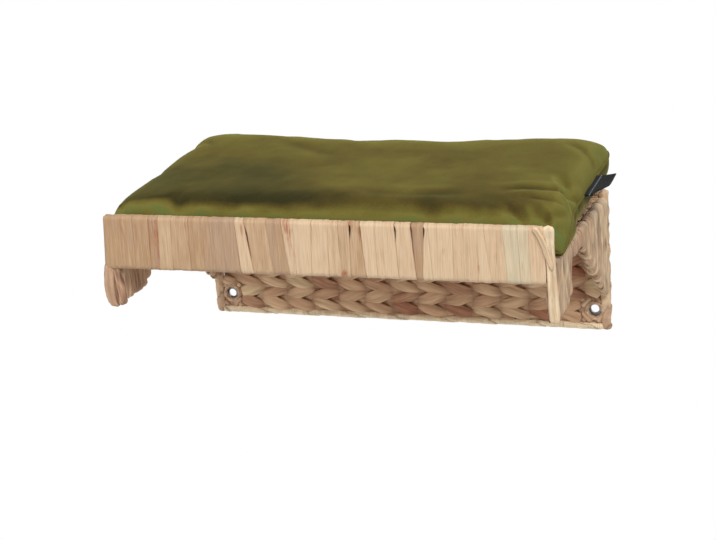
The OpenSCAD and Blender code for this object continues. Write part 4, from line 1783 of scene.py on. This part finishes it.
@dataclass
class Cushion:
    """The loose velvet cushion: a crowned pad whose front right corner droops over the deck's edge."""

    crown: float = 19.5
    corner_full: float = 9.0
    corner_pull: float = 4.0
    rear_pull: float = 3.5
    corner_rise: float = 4.0
    side_bulge: float = 6.0
    seam_up: float = 38.0
    seam_tilt: float = 13.0
    corner_up: float = 2.0
    draw_in: float = 5.0
    rest_gap: float = 0.3
    width_power: float = 11.0
    depth_power: float = 9.0
    under_power: float = 8.0
    droop_power: float = 3.0
    cells: tuple[int, int] = (76, 36)
    corner_share: float = 0.35
    swell_cap: float = 4.5
    pull_power: float = 8.0
    full_power: float = 2.0
    pressure: float = 4.0
    frames: int = 20
    held_h: float = 0.4
    rim_angle: float = 0.9
    seam_r: float = 1.1
    seam_steps: int = 60
    # A base value, painted sheen on the front roll, painted light at the rear and on right-facing slopes,
    # painted shade on the forward slope, the shaded left part and in creases.
    nap: float = 0.43
    roll_nap: float = 0.38
    slope_nap: float = 0.24
    right_nap: float = 0.3
    back_nap: float = 0.2
    shaded_nap: float = 0.42
    most_nap: float = 0.86
    seam_nap: float = 0.5
    crease_nap: float = 0.11
    roll_y: Span = (-228, -247)
    slope_end_x: Span = (190, 230)
    slope_more_x: Span = (60, 130)
    back_y: Span = (-90, -10)
    shaded_x: Span = (30, -150)
    shaded_y: Span = (-90, -165)
    creases: tuple[Crease, ...] = (
        Crease(((263, -150), (255, -166), (240, -179), (218, -184), (198, -187), (176, -196)), 2.3, 5.2),
        Crease(((251, -200), (232, -206), (208, -208)), 1.4, 3.4),
        Crease(((252, -254), (240, -248), (220, -243)), 1.2, 4.0),
        Crease(((261, -108), (250, -78), (236, -62), (216, -46)), 1.8, 5.0),
        Crease(((257, -196), (246, -218), (230, -236)), 1.2, 4.0),
        Crease(((-140, -40), (-95, -70), (-26, -112)), 1.2, 9.0),
        Crease(((150, -206), (90, -214), (20, -212)), 1.0, 7.0),
    )

    def __post_init__(self) -> None:
        """Reads the cushion's box and the deck's level from the frame."""
        self.box = Extent.of("cushion_cover")
        self.deck = Extent.of("left_edge_wrap").high.z
        self.droop = self.seam_up - self.seam_tilt - self.corner_up

    def pull(self, s: float, t: float) -> float:
        """How far the rounding of the corners draws the shares s and t inwards, most at the rear right."""
        most = self.corner_pull + (self.rear_pull if s > 0 and t > 0 else 0.0)
        return most * abs(s * t) ** self.pull_power

    def x_at(self, s: float, t: float) -> float:
        """Place across the platform of the shares s and t, from -1 to 1."""
        return self.box.mid.x + s * (self.box.size.x / 2 - self.draw_in * (1 - t * t) - self.pull(s, t))

    def y_at(self, s: float, t: float) -> float:
        """Depth of the shares s and t."""
        return self.box.mid.y + t * (self.box.size.y / 2 - self.draw_in * (1 - s * s) - self.pull(s, t))

    def seam_at(self, s: float, t: float) -> float:
        """Level of the seam, or of the middle surface inside it.

        Args:
            s: Share across, -1 to 1.
            t: Share in depth, -1 to 1.

        Returns:
            The level.
        """
        droop = self.droop * (max(0.0, s) * max(0.0, -t)) ** self.droop_power
        rise = self.corner_rise * (max(0.0, s) * max(0.0, t)) ** self.droop_power
        return self.deck + self.rest_gap + self.seam_up + self.seam_tilt * t - droop + rise

    @staticmethod
    def rise(share: float, power: float) -> float:
        """Rounded rise from 0 at the edge to 1 inside."""
        return math.sqrt(max(0.0, 1 - abs(share) ** power))

    def top_at(self, s: float, t: float) -> float:
        """Level of the crowned top.

        Args:
            s: Share across, -1 to 1.
            t: Share in depth, -1 to 1.

        Returns:
            The level.
        """
        fuller = self.corner_full * (max(0.0, -s) * max(0.0, t)) ** self.full_power
        height = self.crown + fuller
        return self.seam_at(s, t) + height * self.rise(s, self.width_power) * self.rise(t, self.depth_power)

    def low_at(self, s: float, t: float) -> float:
        """Level of the underside, which lies flat on the deck.

        Args:
            s: Share across, -1 to 1.
            t: Share in depth, -1 to 1.

        Returns:
            The level.
        """
        inside = self.rise(s, self.under_power) * self.rise(t, self.under_power)
        fall = (self.seam_up + self.seam_tilt + 3) * inside
        return max(self.deck + self.rest_gap, self.seam_at(s, t) - fall)

    def spread(self, k: int, count: int) -> float:
        """Share of a grid line, with the lines closer together near the seam."""
        q = 2 * k / count - 1
        return self.corner_share * math.sin(math.pi * q / 2) + (1 - self.corner_share) * q

    def spot(self, level: Callable[[float, float], float], bulge: float, i: int, j: int) -> Spot:
        """A point of the cover before it swells.

        Args:
            level: Gives the level of the shares s and t.
            bulge: How far the right side stands out below the seam.
            i: Column of the point.
            j: Row of the point.

        Returns:
            The point.
        """
        s, t = (self.spread(k, count) for k, count in zip((i, j), self.cells))
        z = level(s, t)
        seam = self.seam_at(s, t)
        fallen = held((seam - z) / max(1.0, seam - self.deck))
        x = self.x_at(s, t) + bulge * math.sin(math.pi * fallen) * ease(0.8, 0.95, s)
        return Spot(Vector((x, self.y_at(s, t), z)), x, z)

    def build(self, finish: bpy.types.Material) -> None:
        """Builds the swollen, creased cushion and its seam.

        Args:
            finish: Material of the pad and its welt.
        """
        surface = Surface("cushion")
        surface.sheet(*self.cells, partial(self.spot, self.top_at, 0.0))
        surface.sheet(*self.cells, partial(self.spot, self.low_at, self.side_bulge))
        bmesh.ops.remove_doubles(surface.mesh, verts=surface.mesh.verts, dist=0.01)
        made = surface.piece(finish, "velvet", Body.CUSHION, ("cushion_cover", "cushion_fill"))
        self.swell(made)
        self.sculpt(made)
        self.seam(made, finish)

    def swell(self, made: bpy.types.Object) -> None:
        """Blows the pad up a little against its seam, and holds it off the deck and the apron.

        Args:
            made: The pad.
        """
        rest = [v.co.copy() for v in made.data.vertices]
        still = made.vertex_groups.new(name="held")
        floor = (self.deck + self.rest_gap + self.held_h) * MM
        rim = self.rim_points(made)
        still.add([v.index for v in made.data.vertices if v.co.z < floor or v.index in rim], 1.0, "REPLACE")
        cloth = made.modifiers.new("swell", "CLOTH")
        cloth.settings.use_pressure = True
        cloth.settings.uniform_pressure_force = self.pressure
        cloth.settings.vertex_group_mass = "held"
        cloth.settings.shrink_min = -0.03
        cloth.settings.tension_stiffness = 12
        cloth.settings.bending_stiffness = 0.4
        cloth.settings.effector_weights.gravity = 0.0
        cloth.collision_settings.use_self_collision = False
        scene = bpy.context.scene
        for number in range(1, self.frames + 1):
            scene.frame_set(number)
        shaped = made.evaluated_get(bpy.context.evaluated_depsgraph_get())
        moved = [v.co.copy() for v in shaped.to_mesh().vertices]
        shaped.to_mesh_clear()
        made.modifiers.remove(cloth)
        scene.frame_set(1)
        for vert, start, end in zip(made.data.vertices, rest, moved):
            move = end - start
            near = (start - self.box.mid * MM).to_2d()
            corner = min(1.0, 4 * abs(near.x * near.y) / (self.box.size.x * self.box.size.y * MM * MM))
            cap = self.swell_cap * MM * (1 - 0.8 * ease(0.7, 0.95, corner))
            if move.length > cap:
                move *= cap / move.length
            vert.co = start + move
        made.vertex_groups.clear()

    def rim_points(self, made: bpy.types.Object) -> set[int]:
        """Finds the points of the seam, where the top and the underside meet.

        Args:
            made: The pad.

        Returns:
            The numbers of the points.
        """
        mesh = bmesh.new()
        mesh.from_mesh(made.data)
        sharp = {edge for edge in mesh.edges if edge.calc_face_angle(0.0) > self.rim_angle}
        rim = {vert.index for edge in sharp for vert in edge.verts}
        mesh.free()
        return rim

    def sculpt(self, made: bpy.types.Object) -> None:
        """Adds faces, presses the creases in and marks the velvet's colour value, which is mostly painted
        light and shade.

        Args:
            made: The pad.
        """
        mesh = bmesh.new()
        mesh.from_mesh(made.data)
        bmesh.ops.subdivide_edges(mesh, edges=mesh.edges, cuts=1, use_grid_fill=True, smooth=0.6)
        mesh.normal_update()
        floor = self.deck + self.rest_gap
        front = self.box.low.y
        nap = mesh.verts.layers.float.new("nap")
        lies = [vert.normal.copy() for vert in mesh.verts]
        for vert, lie in zip(mesh.verts, lies):
            x, y, z = vert.co / MM
            s = 2 * (x - self.box.mid.x) / self.box.size.x
            t = 2 * (y - self.box.mid.y) / self.box.size.y
            below = self.seam_at(min(1.0, s), t) - z
            pressed = 0.0
            top = ease(0.15, 0.5, lie.z)
            if top > 0:
                pressed = top * sum(crease.drop(x, y) for crease in self.creases)
                uneven = 0.6 * ripple(x / 50, y / 40, 3.0) + 0.2 * ripple(x / 15, y / 17, 9.0)
                vert.co += lie * ((top * uneven - pressed) * MM)
                vert.co.z = max(vert.co.z, floor * MM)
                vert.co.y = max(vert.co.y, front * MM)
            # Painted shade in the creases and on the underside below the seam.
            painted_nap_light = self.nap_at(x, y, lie) - self.crease_nap * pressed
            vert[nap] = max(0.0, painted_nap_light) * (1 - ease(0.5, 3.5, below))
        mesh.to_mesh(made.data)
        mesh.free()
        made.data.shade_smooth()
        soft = made.modifiers.new("soft", "SUBSURF")
        soft.levels = soft.render_levels = 1

    def nap_at(self, x: float, y: float, normal: Vector) -> float:
        """Mostly painted light: painted sheen greens the front roll, painted shade browns the slope behind
        it.

        Args:
            x: Place across the platform.
            y: Depth in the frame.
            normal: The way that the cloth faces there.

        Returns:
            0 for the darkest painted shade, up to 1 for the greenest painted sheen.
        """
        # Painted sheen and light on the roll, rear and right slopes; painted shade on the slope and the
        # shaded left part; clouds and streaks are random tone.
        roll = ease(*self.roll_y, y + 3 * ripple(x / 26, 8.0) + ripple(x / 7, 2.0))
        slope_shade = self.slope_nap * (1 - ease(*self.slope_end_x, x)) + 0.08 * ease(*self.slope_more_x, x)
        slope_shade *= ease(0.02, 0.26, -normal.y) * (1 - roll)
        right = self.right_nap * ease(0.05, 0.5, normal.x)
        back = self.back_nap * ease(*self.back_y, y)
        shaded = self.shaded_nap * ease(*self.shaded_x, x) * ease(*self.shaded_y, y) * (1 - roll)
        cloud = 0.14 * ripple(x / 60, y / 40, 21.0) + 0.05 * ripple(x / 17, y / 13, 5.0)
        streak = 0.2 * roll * ripple(x / 22, y / 5, 13.0)
        painted_nap_light = self.nap + self.roll_nap * roll - slope_shade + right + back - shaded + cloud + streak
        return min(self.most_nap, max(0.0, painted_nap_light))

    def seam(self, made: bpy.types.Object, finish: bpy.types.Material) -> None:
        """Builds the thin welt of the seam, which lies on the rim of the finished body.

        Args:
            made: The cushion's body.
            finish: The velvet.
        """
        body = BVHTree.FromObject(made, bpy.context.evaluated_depsgraph_get())
        side = [2 * k / self.seam_steps - 1 for k in range(self.seam_steps)]
        shares = [(q, -1.0) for q in side] + [(1.0, q) for q in side]
        shares += [(-s, -t) for s, t in shares]
        drawn = [Vector((self.x_at(s, t), self.y_at(s, t), self.seam_at(s, t))) for s, t in shares]
        found = [body.find_nearest(place * MM)[0] / MM for place in drawn]
        count = len(found)
        places = [(found[k - 1] + found[k] * 2 + found[(k + 1) % count]) / 4 for k in range(count)]
        rings = []
        along = 0.0
        for k in range(count + 1):
            here = places[k % count]
            ahead = (places[(k + 1) % count] - places[(k - 1) % count]).normalized()
            out = ahead.cross(UP).normalized()
            if k:
                along += (here - places[k - 1]).length
            rings.append(Ring(here + out * 0.2, out, out.cross(ahead), self.seam_r * 1.3, self.seam_r, along))
        surface = Surface("cushion_seam")
        surface.tube(rings, 10, closed=True)
        nap = surface.mesh.verts.layers.float.new("nap")
        for vert in surface.mesh.verts:
            vert[nap] = self.seam_nap
        surface.piece(finish, "velvet", Body.CUSHION)


@dataclass
class Label:
    """The folded ribbon in the right seam, bare apart from its stitching."""

    thickness: float = 0.8
    curl: float = 3.0
    sink: float = 2.0
    columns: int = 24
    leg_rows: int = 10
    bend_rows: int = 6

    def build(self, cushion: Cushion, finish: bpy.types.Material) -> None:
        """Builds the ribbon, with its two ends in the seam and its fold outwards.

        Args:
            cushion: The pad that it is sewn to.
            finish: Material of the ribbon.
        """
        box = Extent.of("cushion_label")
        surface = Surface("cushion_ribbon")
        length = box.size.y
        reach = box.size.x + self.sink
        straight = reach - self.thickness
        rows = 2 * self.leg_rows + self.bend_rows

        def profile(j: int) -> Span:
            """How far row j lies out from the seam and off the ribbon's middle.

            Args:
                j: Number of the row.

            Returns:
                The two distances.
            """
            if j <= self.leg_rows:
                return straight * j / self.leg_rows, -self.thickness
            if j >= self.leg_rows + self.bend_rows:
                return straight * (rows - j) / self.leg_rows, self.thickness
            angle = math.pi * (j - self.leg_rows) / self.bend_rows - math.pi / 2
            return straight + self.thickness * math.cos(angle), self.thickness * math.sin(angle)

        def spot(i: int, j: int) -> Spot:
            """A point i along the seam and j round the fold.

            Args:
                i: Place along the seam.
                j: Place round the fold.

            Returns:
                The point.
            """
            out, off = profile(j)
            share = i / self.columns
            y = box.low.y + length * share
            t = (y - cushion.box.mid.y) / (cushion.box.size.y / 2)
            narrowed = out * blend(0.5, 1.0, ease(0.0, 0.55, share)) - self.sink
            lift = self.curl * (out / reach) ** 2 * (0.2 + 0.8 * share)
            wave = 0.7 * math.sin(share * 5 + 1) * out / reach
            level = cushion.seam_at(1.0, t) + off + lift + wave
            return Spot(Vector((cushion.x_at(1.0, t) + narrowed, y, level)), length * share, narrowed)

        surface.sheet(self.columns, rows, spot)
        made = surface.piece(finish, "label_ribbon", Body.CUSHION, ("cushion_label",), outward=False)
        thicken(made, self.thickness * 0.7)


@dataclass
class Wires:
    """The welded frame and the wall plates, which keep the frame's own solids."""

    rods: tuple[str, ...] = ("back_frame", "back_stakes", "deck_frame", "deck_bars", "front_frame",
                             "left_leg_wires", "right_leg_wires")
    plates: tuple[str, ...] = ("wall_plates",)

    def build(self) -> None:
        """Gives the wires and the plates their finish."""
        self.dress(self.rods, PAINTED_WIRE.material(), "steel_wire")
        self.dress(self.plates, PLATE_STEEL.material(), "steel_plate")

    @staticmethod
    def dress(nodes: Sequence[str], finish: bpy.types.Material, slot: str) -> None:
        """Gives nodes of the frame a material.

        Args:
            nodes: Their names.
            finish: Their material.
            slot: Name of their material slot; not used.
        """
        for name in nodes:
            node = frame["nodes"][name]
            node.data.materials.clear()
            node.data.materials.append(finish)
            log.info("%s: finish %s", name, finish.name)


@dataclass(frozen=True)
class Lamp:
    """A soft square lamp that faces the platform: its name, place, width and power in watts."""

    name: str
    place: tuple[float, float, float]
    width: float
    power: float
    aim: tuple[float, float, float] = (0, -130, 60)

    def hang(self) -> None:
        """Adds the lamp to the scene."""
        light = bpy.data.lights.new(self.name, "AREA")
        light.size = self.width * MM
        light.energy = self.power
        made = shown(self.name, light)
        made.location = Vector(self.place) * MM
        way = Vector(self.aim) * MM - made.location
        made.rotation_euler = way.to_track_quat("-Z", "Y").to_euler()


@dataclass
class Studio:
    """Camera, soft lamps, pale floor and white surroundings."""

    place: tuple[float, float, float] = (628.2, -1792.7, 559.4)
    yaw: float = -21.0307
    pitch: float = 16.5401
    roll: float = -4.0715
    lens: float = 82.96
    sensor: float = 36.0
    floor_level: float = -1200.0
    floor_half: float = 20000.0
    floor_colour: Colour = (0.8, 0.8, 0.79)
    soft_light: float = 0.42
    lamps: tuple[Lamp, ...] = (
        Lamp("key_lamp", (1500, -1900, 2100), 1300, 62), Lamp("fill_lamp", (-1900, -1700, 900), 1600, 22),
        Lamp("top_lamp", (-200, -500, 2400), 1600, 26), Lamp("rear_lamp", (700, 1900, 900), 1400, 8))

    def build(self) -> None:
        """Builds all of it."""
        scene = bpy.context.scene
        scene.view_settings.view_transform = "Standard"
        self.camera(scene)
        for lamp in self.lamps:
            lamp.hang()
        self.world(scene)
        self.floor()

    def camera(self, scene: bpy.types.Scene) -> None:
        """Puts the camera where the photograph was taken.

        Args:
            scene: The scene.
        """
        yaw, pitch, roll = (math.radians(a) for a in (self.yaw, self.pitch, self.roll))
        ahead = Vector((math.sin(yaw) * math.cos(pitch), math.cos(yaw) * math.cos(pitch), -math.sin(pitch)))
        level = Vector((math.cos(yaw), -math.sin(yaw), 0))
        above = level.cross(ahead)
        right = level * math.cos(roll) + above * math.sin(roll)
        up = above * math.cos(roll) - level * math.sin(roll)
        turned = Matrix((right, up, -ahead)).transposed().to_4x4()
        lens = bpy.data.cameras.new("camera")
        lens.lens = self.lens
        lens.sensor_width = self.sensor
        lens.clip_end = 100
        made = shown("camera", lens)
        made.matrix_world = Matrix.Translation(Vector(self.place) * MM) @ turned
        scene.camera = made

    def world(self, scene: bpy.types.Scene) -> None:
        """Makes the surroundings white to the camera and through glass, and a soft light elsewhere.

        Args:
            scene: The scene.
        """
        sky = Shader(bpy.data.worlds.new("surroundings"))
        camera = sky.add("ShaderNodeLightPath", output="Is Camera Ray")
        seen = camera.greater(camera.twin("Is Transmission Ray"))
        strength = sky.add("ShaderNodeMapRange", inputs={0: seen, 3: self.soft_light, 4: 1.0})
        light = sky.add("ShaderNodeBackground", inputs={"Color": sky.colour(WHITE), "Strength": strength})
        sky.close(light, "ShaderNodeOutputWorld")
        scene.world = sky.owner

    def floor(self) -> None:
        """Adds the pale floor, far below the wall platform."""
        mesh = bmesh.new()
        bmesh.ops.create_grid(mesh, x_segments=1, y_segments=1, size=self.floor_half * MM)
        bmesh.ops.translate(mesh, vec=(0, 0, self.floor_level * MM), verts=mesh.verts)
        pale = Shader.named("pale_floor")
        seen = pale.add("ShaderNodeLightPath", output="Is Camera Ray")
        lit = pale.add("ShaderNodeBsdfDiffuse", inputs={"Color": pale.colour(self.floor_colour)})
        glow = pale.add("ShaderNodeEmission", inputs={"Color": pale.colour(WHITE), "Strength": 1.0})
        pale.close(pale.add("ShaderNodeMixShader", inputs={0: seen, 1: lit, 2: glow}))
        from_mesh("floor", mesh, pale.owner)


def main() -> None:
    """Builds the platform and the studio."""
    logging.basicConfig(level=logging.INFO, format="%(name)s %(message)s")
    woven = WOVEN_LEAF.material()
    wrap = WRAP_LEAF.material()
    Wires().build()
    eyelets = Eyelets()
    Weave(Plane.BACK, 6, 11, cut_rows=(0, 1, 7, 8), cut_x=eyelets.hole.x - eyelets.half + 0.5).build(woven)
    Weave(Plane.DECK, 9, 18, rings_per_bay=10, sides=12).build(woven)
    Rails().build(wrap)
    Posts().build(wrap)
    SideWinding().build(wrap)
    eyelets.build(wrap)
    Apron().build(APRON_LEAF.material())
    cushion = Cushion()
    cushion.build(VELVET.material())
    Label().build(cushion, RIBBON.material())
    Studio().build()


if __name__ == "__main__":
    main()
